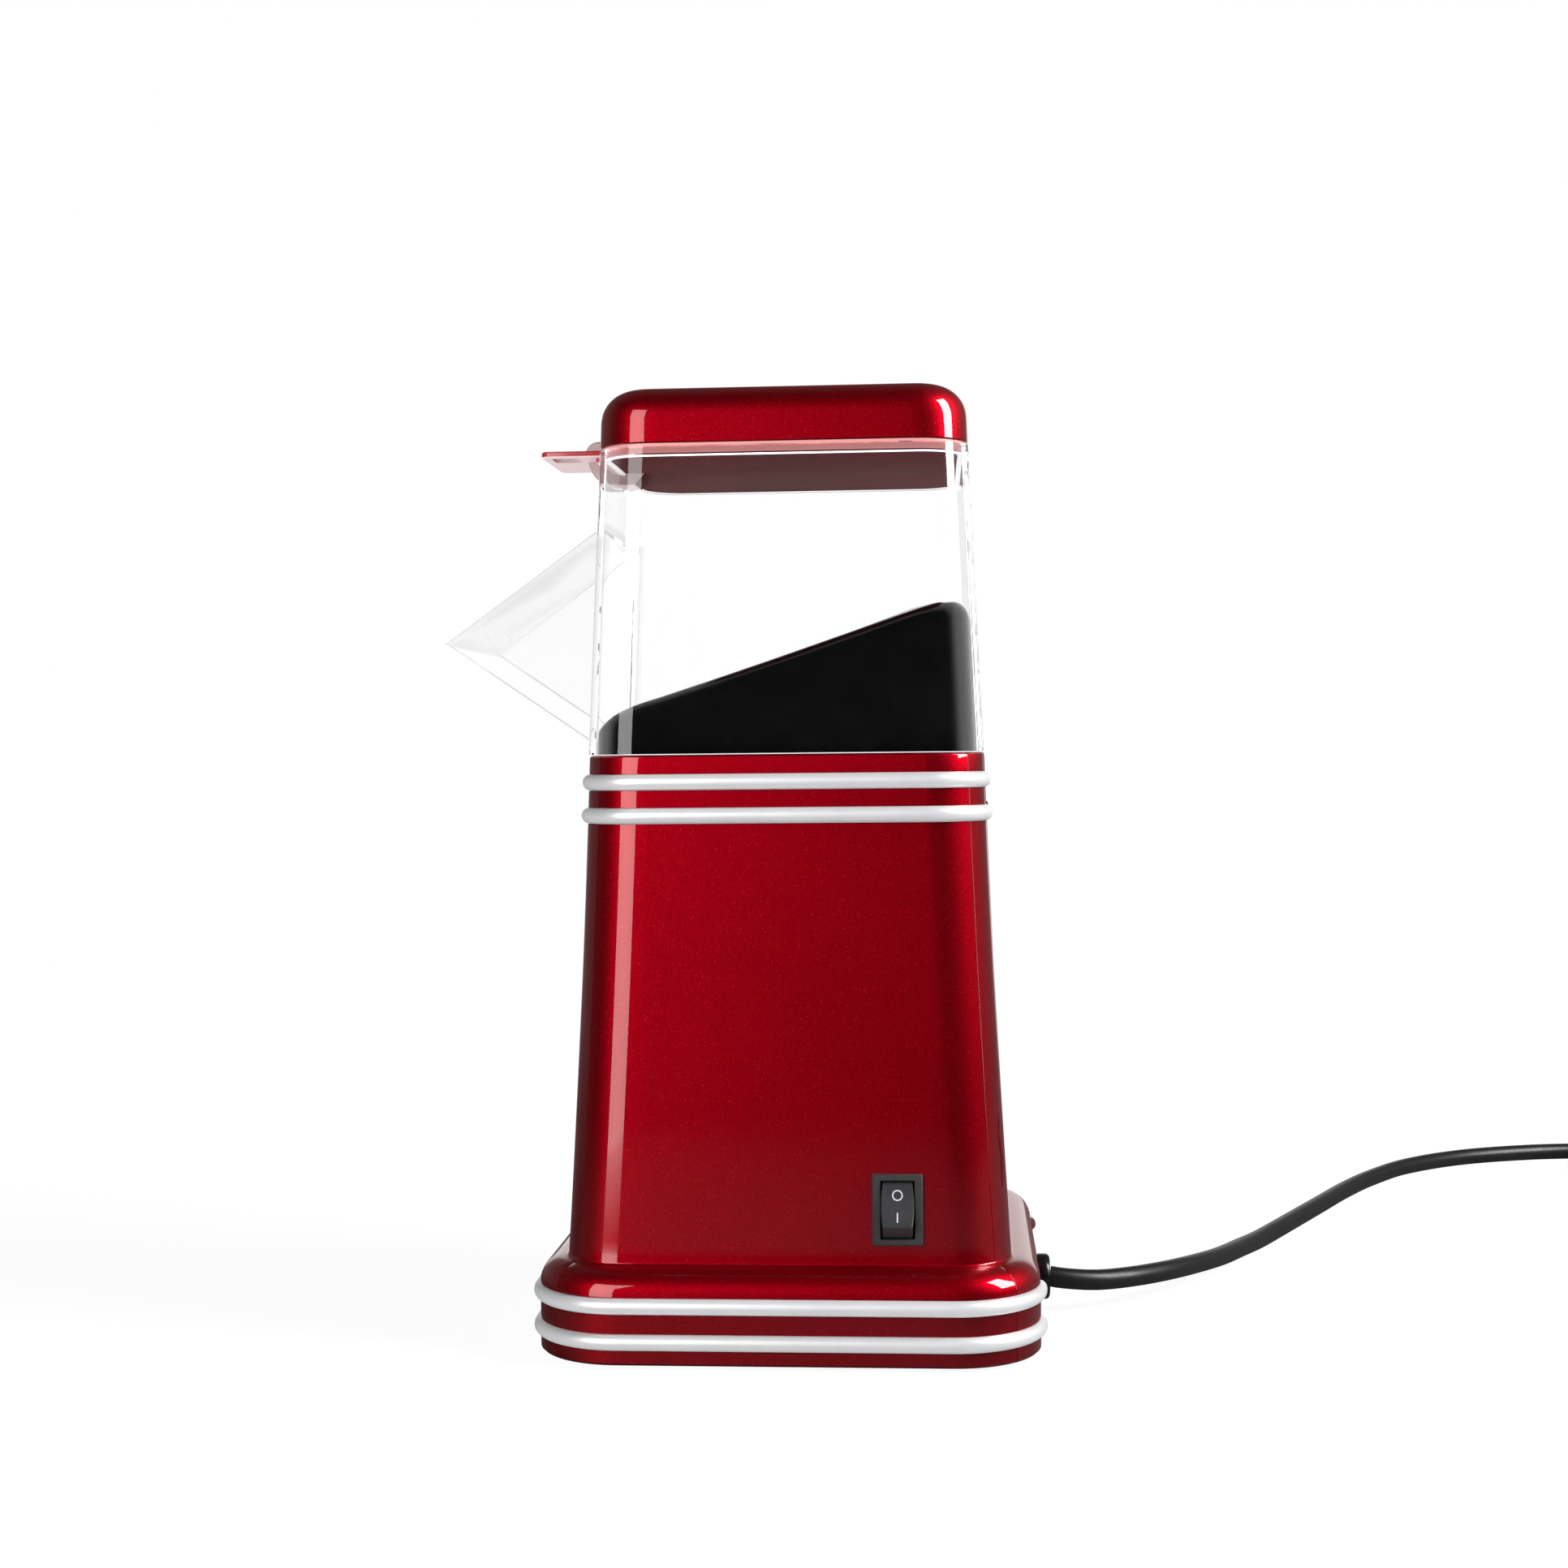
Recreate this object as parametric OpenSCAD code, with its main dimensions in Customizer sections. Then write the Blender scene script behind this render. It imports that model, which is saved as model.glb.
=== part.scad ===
// Hot-air popcorn maker. Millimetres, +Z up, front towards -Y, switch side towards +X.
// Everything is drawn about the body's own axis, with z = 0 at the housing's lower rim, and
// on_axis() then sets it on its feet over the middle of the whole object's footprint.

/* [Housing] */
// Length of the base, front to back
base_l = 152; // [146:1:158]
// How much narrower the base, body and hood are than they are long
slim = 4.3; // [2:0.1:6]
// Length of the body just above the base's shoulder
body_l = 134.6; // [130:0.1:138]
// Length of the collar that the hood stands on
collar_l = 120.8; // [118:0.1:124]
// Height of the base's upright wall
base_wall_h = 20; // [19:0.5:22]
// Height of the shoulder's top, where the body begins
shoulder_top = 27.8; // [26:0.1:29]
// Height of the collar's top
body_h = 179.5; // [176:0.5:184]
// How far the body's sides bow inwards at mid height
waist = 0.5; // [0:0.1:1.5]
// Corner radius of the base in plan
base_r = 26.3; // [24:0.1:28]
// Wall thickness of the mouldings
wall = 2.5; // [2:0.1:3]
// Thickness of the deck under the hood
deck_t = 4; // [3.5:0.1:4.5]

/* [Trim bands] */
// Radius of a band's rounded face
band_r = 2.45; // [2:0.05:2.6]
// Depth of the groove that a band sits in
groove_d = 1.2; // [0.8:0.1:1.4]
// Heights of the four bands, lowest first
band_z = [6.9, 17.5, 161.2, 171.3];

/* [Hood and lid] */
// Height of the clear hood's top rim
hood_top = 272.5; // [266:0.5:280]
// Length of the hood at its top rim
hood_top_l = 112.9; // [110:0.1:116]
// Thickness of the clear mouldings
clear_t = 2; // [1.6:0.1:2.4]
// Height of the lid
lid_h = 18.2; // [16:0.1:22]
// Radius round the lid's top edge
lid_edge_r = 10.5; // [8:0.5:11]
// Corner radius of the lid in plan
lid_r = 16; // [14:0.5:18]

/* [Chute] */
// Width of the chute's outside
chute_w = 80; // [70:1:84]
// Reach of the chute's lip in front of the body's axis
chute_reach = 105.5; // [95:0.5:110]
// Height of the chute's lip
chute_lip_z = 214.5; // [208:0.5:220]
// Height of the chute's top edge on the hood
chute_top = 248.5; // [244:0.5:250]
// Height of the chute's lower end on the hood
chute_foot = 183.5; // [183:0.5:187]

/* [Popcorn guide] */
// Height of the guide's slope at its back
guide_back_z = 223.5; // [216:0.5:228]
// Height of the guide's slope at its front
guide_front_z = 195; // [192:0.5:198]
// Radius of the guide's throat
throat_r = 40; // [40:0.1:41]

/* [Measuring cup] */
// Depth of the cup's floor below the hood's rim
cup_floor_d = 2.2; // [1.6:0.1:4]
// Reach of the handle in front of the body's axis
handle_reach = 78.7; // [74:0.1:84]
// Width of the handle
handle_w = 40; // [34:1:50]
// Width of the nose that passes through the hood
nose_w = 14; // [10:1:24]
// Depth of the nose below the hood's rim
nose_d = 6.2; // [5:0.1:9]

/* [Switch] */
// Height of the switch's middle
switch_z = 44.6; // [40:0.1:50]
// How far behind the axis the switch sits
switch_y = 33.5; // [25:0.5:36]
// Angle that the rocker leans to each side
rocker_tilt = 14; // [10:1:15]

/* [Works] */
// Inside radius of the popping chamber
chamber_r = 38; // [36:0.5:38.5]
// Height of the popping chamber's floor
chamber_floor = 118; // [116:1:124]
// Number of swirl slots in the popping chamber
slot_count = 16; // [8:2:24]
// Number of impeller blades
blade_count = 12; // [6:1:16]
// Radius of the motor can
motor_r = 17.5; // [16:0.5:18]
// Diameter of the motor shaft
shaft_d = 3.175; // [3:0.005:3.2]

/* [Cord] */
// Diameter of the power cord
cord_d = 6.6; // [6:0.1:7]

/* [Hidden] */
$fn = 64;
eps = 0.01;
corner_steps = 7;

// Colours
metallic_red = [0.55, 0.02, 0.08];
trim_silver = [0.82, 0.83, 0.85];
gloss_black = [0.05, 0.05, 0.06];
dark_grey = [0.16, 0.17, 0.18];
clear_grey = [0.9, 0.92, 0.94, 0.35];
bare_metal = [0.75, 0.76, 0.78];
phenolic = [0.12, 0.1, 0.09];
copper = [0.72, 0.38, 0.2];

// Placing: the feet stand on z = 0 and the footprint is centred on x = y = 0
foot_out = 1.2;
axis_y = 12.9;

// Housing
base_hy = base_l / 2;
base_hx = base_hy - slim / 2;
shoulder_in = (base_l - body_l) / 2;
shoulder_h = shoulder_top - base_wall_h;
body_r = base_r - shoulder_in;
body_span = body_h - shoulder_top;
rim_round = 0.8;
plate_z = 1.6;
plate_t = 2.6;
plate_gap = 0.3;
boss_r = 4.5;
boss_top = 22;
boss_out = 20 * sin(45);
boss_x = base_hx - base_r + boss_out;
boss_y = base_hy - base_r + boss_out;
pilot_r = 1.3;
screw_r = 1.25;
screw_hole_r = 1.9;
screw_head_r = 3;
screw_head_h = 1.4;
foot_r = 8;
foot_x = 44;
foot_y = 46;
foot_stem_r = 2.5;
foot_barb_r = 3.3;
band_stub = 1.5;
vent_w = 3;
vent_l = 44;
vent_pitch = 7;
vent_rows = 4;

// Works, from the deck downwards
flange_r = 53.5;
stack_screw_r = 49.6;
stack_angles = [45, 165, 285];
gasket_t = 1;
deck_under = body_h - deck_t;
gasket_z = deck_under - gasket_t;
chamber_t = 0.8;
chamber_flange_z = gasket_z - chamber_t;
duct_flange_t = 2.5;
duct_top = chamber_flange_z;
duct_foot = 104;
duct_in_r = 44;
duct_out_r = 46;
duct_flange_r = 53;
duct_screw_r = 49.5;
fan_in_r = 42.5;
fan_out_r = 45;
fan_floor = 78;
fan_floor_t = 2.4;
inlet_r = 32;
hub_r = 19;
spoke_w = 8;
mica_t = 1;
mica_h = 12;
mica_half = 43.7;
coil_radii = [14, 24, 34];
coil_wire_r = 2.2;
coil_z = duct_foot + mica_h / 2;
motor_top = fan_floor;
motor_foot = 36;
can_t = 1;
cap_t = 2.5;
bush_r = 3;
bush_bore_r = shaft_d / 2 + 0.03;
fit_bore_r = shaft_d / 2 + 0.015;
motor_screw_x = 10;
shaft_foot = 31.5;
shaft_top = 100;
disc_z = 95.5;
disc_t = 1.4;
disc_r = 36;
blade_z = 83.5;
blade_t = 1.3;
blade_in_r = 15;
hub_foot = 82;
board_z = 27.5;
board_t = 1.6;
board_half = 12;
terminal_x = 9;

// Switch, in a frame whose +X is the wall's outward normal
bezel_w = 15;
bezel_h = 21;
bezel_t = 1.5;
switch_in_w = 13;
switch_in_h = 19;
switch_in_d = 14;
pivot_in = 2.66;
rocker_r = 8.85;
rocker_w = 9.6;
rocker_gap = 0.15;
rocker_face_angle = 44.8;
rocker_dish = 0.9;
terminal_h = 5;

// Strain relief and cord
relief_z = 10.3;
relief_flange_r = 7.2;
relief_flange_t = 4.6;
relief_neck_r = 4.9;
relief_inside = 22;
wire_r = 1.2;

// Route of the cord from the strain relief to the coil, standing on z = 0
cord_route = [
    [0, 93.5, 11.5], [0, 98.5, 10.8], [-3, 109, 9.7], [-11, 122, 9.2], [-27, 137, 8.2], [-54, 153, 5.8],
    [-78, 164.5, 4.2], [-95, 172.8, 3.3], [-114, 182.5, 3.3], [-135, 193, 3.3],
    [-160, 205.5, 3.3], [-187, 219, 3.3], [-213, 234, 3.3], [-240, 254, 3.3],
    [-262, 282, 3.3], [-275, 315, 3.3],
    [-279, 345, 3.3], [-280, 374, 3.3]
];
coil_centre = [-240, 374];
coil_out_r = 40;
coil_turn_gap = cord_d;
coil_layers = 2;
plug_l = 18;
plug_at = [-218, 408, 20.2];

// Half the length of the body's outline at height z
function body_half(z) =
    let (t = (z - shoulder_top) / body_span)
    body_l / 2 + (collar_l - body_l) / 2 * t - waist * 4 * t * (1 - t);

// Half the length of the hood's outside at height z
function hood_half(z) =
    (collar_l + (hood_top_l - collar_l) * (z - body_h) / (hood_top - body_h)) / 2;

// How far the hood's walls lean inwards, and the chute's open underside slopes
hood_lean = atan((collar_l - hood_top_l) / 2 / (hood_top - body_h));
underside = atan((chute_lip_z - chute_foot) / (chute_reach - hood_half(chute_foot)));

// One rounded corner, and the whole rounded outline, counter-clockwise
function corner(x, y, r, a) =
    [for (i = [0:corner_steps]) let (t = a + 90 * i / corner_steps) [x + r * cos(t), y + r * sin(t)]];
function outline(hx, hy, r) = concat(
    corner(hx - r, hy - r, r, 0), corner(r - hx, hy - r, r, 90),
    corner(r - hx, r - hy, r, 180), corner(hx - r, r - hy, r, 270));

// A circle's arc as points
function arc(x, y, r, a0, a1, n) =
    [for (i = [0:n]) let (t = a0 + (a1 - a0) * i / n) [x + r * cos(t), y + r * sin(t)]];

// Faces of a tube of rings, n points each, closed by a cap at each end
function ring_faces(rings, n) = concat(
    [[for (i = [0:n - 1]) i]],
    [[for (i = [n - 1:-1:0]) (rings - 1) * n + i]],
    [for (k = [0:rings - 2], i = [0:n - 1]) [k * n + i, (k + 1) * n + i, (k + 1) * n + (i + 1) % n]],
    [for (k = [0:rings - 2], i = [0:n - 1]) [k * n + i, (k + 1) * n + (i + 1) % n, k * n + (i + 1) % n]]);

// A solid through rounded outlines, each level being [z, half width, half length, corner radius]
module loft(levels) {
    rings = [for (s = levels) [for (p = outline(s[1], s[2], s[3])) [p[0], p[1], s[0]]]];
    polyhedron([for (ring = rings) each ring], ring_faces(len(rings), len(rings[0])));
}

// Catmull-Rom point between b and c, and a route with one more point in each of its gaps
function between(a, b, c, d, t) =
    0.5 * (2 * b + (c - a) * t + (2 * a - 5 * b + 4 * c - d) * t * t + (3 * b - a - 3 * c + d) * t * t * t);
function refined(p) = [
    for (i = [0:len(p) - 2]) let (a = p[max(i - 1, 0)], d = p[min(i + 2, len(p) - 1)])
        for (t = [0, 0.5]) between(a, p[i], p[i + 1], d, t),
    p[len(p) - 1]
];
function unit(v) = v / norm(v);

// A round tube along a route that is never upright
module sweep(route, r, sides) {
    n = len(route);
    dirs = [for (i = [0:n - 1]) unit(route[min(i + 1, n - 1)] - route[max(i - 1, 0)])];
    rings = [for (i = [0:n - 1]) let (s = unit(cross(dirs[i], [0, 0, 1])), u = cross(s, dirs[i]))
        [for (k = [0:sides - 1]) let (t = 360 * k / sides) route[i] + r * (cos(t) * u + sin(t) * s)]];
    polyhedron([for (ring = rings) each ring], ring_faces(n, sides));
}

module on_axis() {
    translate([0, axis_y, foot_out]) children();
}

// A flat rounded rectangle with true arcs at its corners
module plan(hx, hy, r) {
    square([2 * hx, 2 * (hy - r)], center = true);
    square([2 * (hx - r), 2 * hy], center = true);
    for (x = [r - hx, hx - r], y = [r - hy, hy - r]) translate([x, y]) circle(r);
}

module plate(hx, hy, r, z, t) {
    translate([0, 0, z]) linear_extrude(t) plan(hx, hy, r);
}

module tube(r_out, r_in, z, h) {
    translate([0, 0, z]) difference() {
        cylinder(h = h, r = r_out);
        translate([0, 0, -1]) cylinder(h = h + 2, r = r_in);
    }
}

module post(r, z, h) {
    translate([0, 0, z]) cylinder(h = h, r = r);
}

// Copies at every corner of a rectangle about the axis, or round the axis
module at_corners(x, y) {
    for (sx = [-1, 1], sy = [-1, 1]) translate([sx * x, sy * y, 0]) children();
}
module around(angles, r) {
    for (a = angles) rotate(a) translate([r, 0, 0]) children();
}

// A pan-head screw pointing up from a head at height z
module screw(z, length) {
    post(screw_head_r, z - screw_head_h, screw_head_h);
    post(screw_r, z - eps, length);
}

// ---- Housing ----
module at_switch() {
    lean = atan(body_half(switch_z - 0.5) - body_half(switch_z + 0.5));
    translate([body_half(switch_z) - slim / 2, switch_y, switch_z]) rotate([0, -lean, 0]) children();
}

function shoulder_levels(inset, drop) = [for (a = [0:18:90])
    let (i = inset + shoulder_in * (1 - cos(a)))
    [base_wall_h + (shoulder_h - drop) * sin(a), base_hx - i, base_hy - i, base_r - i]];

function body_levels(inset, top) = [for (k = [1:8])
    let (z = shoulder_top + (top - shoulder_top) * k / 8, h = body_half(z) - inset)
    [z, h - slim / 2, h, body_r - inset]];

module groove(z) {
    upper = z > shoulder_top;
    hy = upper ? body_half(z) : base_hy;
    r = upper ? body_r : base_r;
    stop = hy - slim / 2 - r - band_stub - band_r - 0.1;
    translate([0, 0, z - band_r]) linear_extrude(2 * band_r) difference() {
        plan(hy - slim / 2 + 2, hy + 2, r + 2);
        plan(hy - slim / 2 - groove_d, hy - groove_d, r - groove_d);
        translate([-stop, 0]) square([2 * stop, hy + 5]);
    }
}

module housing() {
    color(metallic_red) on_axis() difference() {
        union() {
            difference() {
                loft(concat(
                    [[0, base_hx - rim_round, base_hy - rim_round, base_r - rim_round],
                     [rim_round, base_hx, base_hy, base_r]],
                    shoulder_levels(0, 0), body_levels(0, body_h)));
                loft(concat(
                    [[-1, base_hx - wall, base_hy - wall, base_r - wall]],
                    shoulder_levels(wall, wall), body_levels(wall, deck_under)));
            }
            at_corners(boss_x, boss_y) post(boss_r, plate_z + plate_t, boss_top - plate_z - plate_t);
        }
        post(throat_r, deck_under - 1, deck_t + 2);
        at_corners(boss_x, boss_y) post(pilot_r, plate_z, 16);
        around(stack_angles, stack_screw_r) post(pilot_r, deck_under - 1, deck_t);
        for (z = band_z) groove(z);
        at_switch() cube([3 * wall, switch_in_w + 0.2, switch_in_h + 0.2], center = true);
        translate([0, base_hy - wall - 3, relief_z]) rotate([-90, 0, 0])
            cylinder(h = 10, r = relief_neck_r + 0.1);
    }
}

// ---- Trim bands: a D-shaped section bent round the front and sides, ends rounded ----
module band_section() {
    difference() {
        circle(band_r);
        translate([-2 * band_r, -2 * band_r]) square([2 * band_r - groove_d + 0.5, 4 * band_r]);
    }
}

module band_straight(length) {
    rotate([90, 0, 0]) linear_extrude(length, center = true) band_section();
}

module band_end() {
    intersection() {
        sphere(band_r);
        translate([0.5 - groove_d, -band_r - 1, -band_r - 1]) cube(2 * band_r + 2);
    }
}

module band(z) {
    upper = z > shoulder_top;
    hy = (upper ? body_half(z) : base_hy) - 0.5;
    hx = hy - slim / 2;
    r = (upper ? body_r : base_r) - 0.5;
    color(trim_silver) on_axis() translate([0, 0, z]) {
        for (s = [0, 1]) mirror([s, 0, 0]) {
            translate([hx, 0, 0]) band_straight(2 * (hy - r));
            for (f = [-1, 1]) translate([hx - r, f * (hy - r), 0]) rotate(f < 0 ? -90 : 0)
                rotate_extrude(angle = 90) translate([r, 0]) band_section();
            translate([hx - r - band_stub / 2, hy, 0]) rotate(90) band_straight(band_stub);
            translate([hx - r - band_stub, hy, 0]) rotate(90) band_end();
        }
        translate([0, -hy, 0]) rotate(-90) band_straight(2 * (hx - r));
    }
}

module band_base_lower() band(band_z[0]);
module band_base_upper() band(band_z[1]);
module band_collar_lower() band(band_z[2]);
module band_collar_upper() band(band_z[3]);

// ---- Base plate, feet and screws ----
module base_plate() {
    inset = wall + plate_gap;
    color(dark_grey) on_axis() difference() {
        plate(base_hx - inset, base_hy - inset, base_r - inset, plate_z, plate_t);
        at_corners(boss_x, boss_y) post(screw_hole_r, plate_z - 1, plate_t + 2);
        at_corners(foot_x, foot_y) post(foot_stem_r, plate_z - 1, plate_t + 2);
        for (k = [-vent_rows:vent_rows])
            translate([vent_pitch * k, 0, plate_z]) cube([vent_w, vent_l, 4 * plate_t], center = true);
    }
}

module rubber_feet() {
    stem_top = plate_z + plate_t;
    color(gloss_black) on_axis() at_corners(foot_x, foot_y) {
        translate([0, 0, -foot_out]) cylinder(h = 0.8, r1 = foot_r - 0.8, r2 = foot_r);
        post(foot_r, 0.8 - foot_out - eps, plate_z + foot_out - 0.8 + eps);
        post(foot_stem_r - 0.1, plate_z - eps, plate_t + 0.2);
        translate([0, 0, stem_top + 0.1]) cylinder(h = 1.6, r1 = foot_barb_r, r2 = foot_stem_r - 0.8);
    }
}

module base_screws() {
    color(bare_metal) on_axis() at_corners(boss_x, boss_y) screw(plate_z, 14);
}

// ---- Popcorn guide: a sloped shell with a throat down to the popping chamber ----
module guide_solid(t) {
    back_y = body_half(body_h) - clear_t - 0.5 - t;
    back_r = 5.5 - t / 2;
    slope = (guide_back_z - guide_front_z) / (45.5 + 45);
    drop = t * sqrt(1 + slope * slope);
    front_y = -56.4 + t;
    side = concat(
        [[front_y, body_h + 0.3 - (t > 0 ? 5 : 0)], [front_y, 186.5 - t], [front_y + 3, 190.5 - t]],
        [[-45, guide_front_z - drop], [43, guide_back_z - slope * 2.5 - drop]],
        arc(back_y - back_r - 1.6, guide_back_z + 0.9 - t - back_r, back_r, 100, 5, 8),
        [[back_y, body_h + 0.3 - (t > 0 ? 5 : 0)]]);
    hy = body_half(body_h) - clear_t - 0.5 - t;
    rise = hood_top - body_h;
    narrower = (collar_l - hood_top_l) / 2;
    intersection() {
        rotate([90, 0, 90]) linear_extrude(2 * base_hx, center = true) polygon(side);
        loft([
            [body_h - 6, hy - slim / 2, hy, body_r - 3 - t],
            [hood_top, hy - slim / 2 - narrower, hy - narrower, body_r - 3 - t]]);
    }
}

module popcorn_guide() {
    color(gloss_black) on_axis() difference() {
        union() {
            difference() {
                guide_solid(0);
                guide_solid(clear_t);
            }
            intersection() {
                guide_solid(0);
                post(throat_r + 1.6, body_h, 60);
            }
        }
        post(throat_r, body_h - 1, 60);
    }
}

// ---- Popping chamber and the air path ----
module popping_chamber() {
    out = chamber_r + chamber_t;
    color(bare_metal) on_axis() difference() {
        union() {
            tube(out, chamber_r, chamber_floor, chamber_flange_z - chamber_floor + eps);
            tube(flange_r, chamber_r, chamber_flange_z, chamber_t);
            post(out, chamber_floor, 1);
            translate([0, 0, chamber_floor + 1 - eps]) cylinder(h = 7, r1 = 14, r2 = 2.5);
        }
        around([for (k = [0:slot_count - 1]) 360 * k / slot_count], chamber_r)
            translate([0, 0, chamber_floor + 5]) rotate(50) cube([8, 1.6, 6], center = true);
        around(stack_angles, stack_screw_r) post(screw_hole_r, chamber_flange_z - 1, 3);
    }
}

module chamber_gasket() {
    color([0.7, 0.7, 0.68]) on_axis() difference() {
        tube(flange_r, throat_r, gasket_z, gasket_t);
        around(stack_angles, stack_screw_r) post(screw_hole_r, gasket_z - 1, 3);
    }
}

module chamber_screws() {
    color(bare_metal) on_axis() around(stack_angles, stack_screw_r)
        screw(duct_top - duct_flange_t, duct_flange_t + chamber_t + gasket_t + 2.6);
}

module air_duct() {
    color(phenolic) on_axis() difference() {
        union() {
            tube(duct_out_r, duct_in_r, duct_foot, duct_top - duct_foot);
            tube(flange_r, duct_in_r, duct_top - duct_flange_t, duct_flange_t);
            tube(duct_flange_r, duct_in_r, duct_foot, duct_flange_t);
        }
        around(stack_angles, stack_screw_r) post(screw_hole_r, duct_top - 4, 6);
        around(stack_angles, duct_screw_r) post(pilot_r, duct_foot - 1, duct_flange_t + 2);
    }
}

module duct_screws() {
    color(bare_metal) on_axis() around(stack_angles, duct_screw_r) screw(duct_foot - duct_flange_t, 6);
}

module mica_frame() {
    color([0.75, 0.7, 0.6]) on_axis() difference() {
        for (a = [0, 90]) rotate(a) translate([-mica_half, -mica_t / 2, duct_foot])
            cube([2 * mica_half, mica_t, mica_h]);
        for (a = [0, 90, 180, 270], r = coil_radii) rotate(a) translate([r, 0, coil_z])
            rotate([90, 0, 0]) cylinder(h = 4, r = coil_wire_r + 0.3, center = true);
    }
}

module heater_coil() {
    color([0.6, 0.58, 0.55]) on_axis() for (r = coil_radii)
        translate([0, 0, coil_z]) rotate_extrude() translate([r, 0]) circle(coil_wire_r, $fn = 24);
}

module thermostat() {
    color([0.85, 0.82, 0.75]) on_axis() difference() {
        union() {
            translate([0, 40, 140]) rotate([-90, 0, 0]) cylinder(h = 12, r = 8);
            for (z = [136, 144]) translate([-2, 51, z - 0.4]) cube([4, 6, 0.8]);
        }
        post(duct_out_r + 0.05, 120, 40);
    }
}

module thermal_fuse() {
    color(trim_silver) on_axis() rotate(125) translate([duct_out_r + 2.1, 0, 132]) {
        cylinder(h = 12, r = 2);
        translate([0, 0, -6]) cylinder(h = 24, r = 0.6);
    }
}

module fan_housing() {
    color(phenolic) on_axis() difference() {
        union() {
            tube(fan_out_r, fan_in_r, fan_floor, duct_foot - fan_floor);
            tube(duct_flange_r, fan_in_r, duct_foot - duct_flange_t, duct_flange_t);
            tube(fan_out_r, inlet_r, fan_floor, fan_floor_t);
            post(hub_r, fan_floor, fan_floor_t);
            around([90, 210, 330], 0)
                translate([hub_r - 2, -spoke_w / 2, fan_floor])
                    cube([inlet_r - hub_r + 4, spoke_w, fan_floor_t]);
        }
        post(bush_r + 2.4, fan_floor - 1, 6);
        for (x = [-1, 1]) translate([x * motor_screw_x, 0, 0]) post(screw_hole_r, fan_floor - 1, 6);
        around(stack_angles, duct_screw_r) post(screw_hole_r, duct_foot - 4, 6);
    }
}

// ---- Motor ----
module motor_can() {
    color(bare_metal) on_axis() difference() {
        union() {
            tube(motor_r, motor_r - can_t, motor_foot, motor_top - motor_foot);
            post(motor_r, motor_top - 1.2, 1.2);
            post(bush_r + 2, motor_top - 3.5, 5);
        }
        post(bush_r, motor_top - 5, 8);
        for (x = [-1, 1]) translate([x * motor_screw_x, 0, 0]) post(pilot_r, motor_top - 3, 6);
    }
}

module motor_screws() {
    color(bare_metal) on_axis() for (x = [-1, 1])
        translate([x * motor_screw_x, 0, 2 * (fan_floor + fan_floor_t)]) mirror([0, 0, 1])
            screw(fan_floor + fan_floor_t, 5);
}

module motor_end_cap() {
    color(gloss_black) on_axis() difference() {
        union() {
            post(motor_r, motor_foot - cap_t, cap_t);
            tube(motor_r - can_t - 0.05, motor_r - can_t - 2, motor_foot - eps, 2.5);
            for (s = [-1, 1]) translate([s * 10, 0, motor_foot + 2]) cube([5, 5, 4.1], center = true);
        }
        post(bush_r, motor_foot - 5, 8);
        for (s = [-1, 1]) translate([s * terminal_x, 0, motor_foot]) cube([1, 3.4, 8], center = true);
        for (s = [-1, 1]) translate([s * 8, 0, motor_foot + 4.9]) cube([12, 2.6, 2.6], center = true);
    }
}

module motor_magnets() {
    color(dark_grey) on_axis() for (a = [-60, 120]) rotate(a) translate([0, 0, 43])
        rotate_extrude(angle = 120) translate([13.3, 0]) square([3.1, 27]);
}

module upper_bush() {
    color([0.7, 0.5, 0.25]) on_axis() tube(bush_r, bush_bore_r, motor_top - 3.5, 5.5);
}

module lower_bush() {
    color([0.7, 0.5, 0.25]) on_axis() tube(bush_r, bush_bore_r, motor_foot - cap_t, 4);
}

module motor_brushes() {
    color(dark_grey) on_axis() for (s = [-1, 1])
        translate([s * 7.3, 0, motor_foot + 4.9]) cube([6.2, 2.4, 2.4], center = true);
}

module motor_terminals() {
    color(copper) on_axis() for (s = [-1, 1])
        translate([s * terminal_x, 0, (board_z - 2 + motor_foot + 1.5) / 2])
            cube([0.8, 3.2, motor_foot + 1.5 - board_z + 2], center = true);
}

module rectifier_board() {
    color([0.1, 0.35, 0.2]) on_axis() difference() {
        translate([0, 0, board_z + board_t / 2])
            cube([2 * board_half, 2 * board_half, board_t], center = true);
        for (s = [-1, 1]) translate([s * terminal_x, 0, board_z]) cube([1, 3.4, 8], center = true);
    }
}

module rectifier_diodes() {
    color(gloss_black) on_axis() for (x = [-1, 1], y = [-1, 1])
        translate([x * 4, y * 7, board_z - 1.5]) rotate([0, 90, 0]) {
            cylinder(h = 5, r = 1.4, center = true);
            cylinder(h = 6.6, r = 0.4, center = true);
        }
}

module motor_shaft() {
    color(bare_metal) on_axis() post(shaft_d / 2, shaft_foot, shaft_top - shaft_foot);
}

module armature_core() {
    color(bare_metal) on_axis() difference() {
        post(12.8, 46, 22);
        post(fit_bore_r, 45, 24);
        around([0, 120, 240], 8.2) post(2.6, 45, 24);
        around([0, 120, 240], 11) translate([0, 0, 57]) cube([6, 1.6, 24], center = true);
    }
}

module armature_windings() {
    color(copper) on_axis() for (z = [44, 70])
        translate([0, 0, z]) rotate_extrude() translate([7.5, 0]) square([7, 3.6], center = true);
}

module commutator() {
    color(copper) on_axis() difference() {
        tube(4.1, fit_bore_r, 38.6, 3.5);
        around([60, 180, 300], 3.9) translate([0, 0, 40]) cube([1, 0.5, 5], center = true);
    }
}

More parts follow.
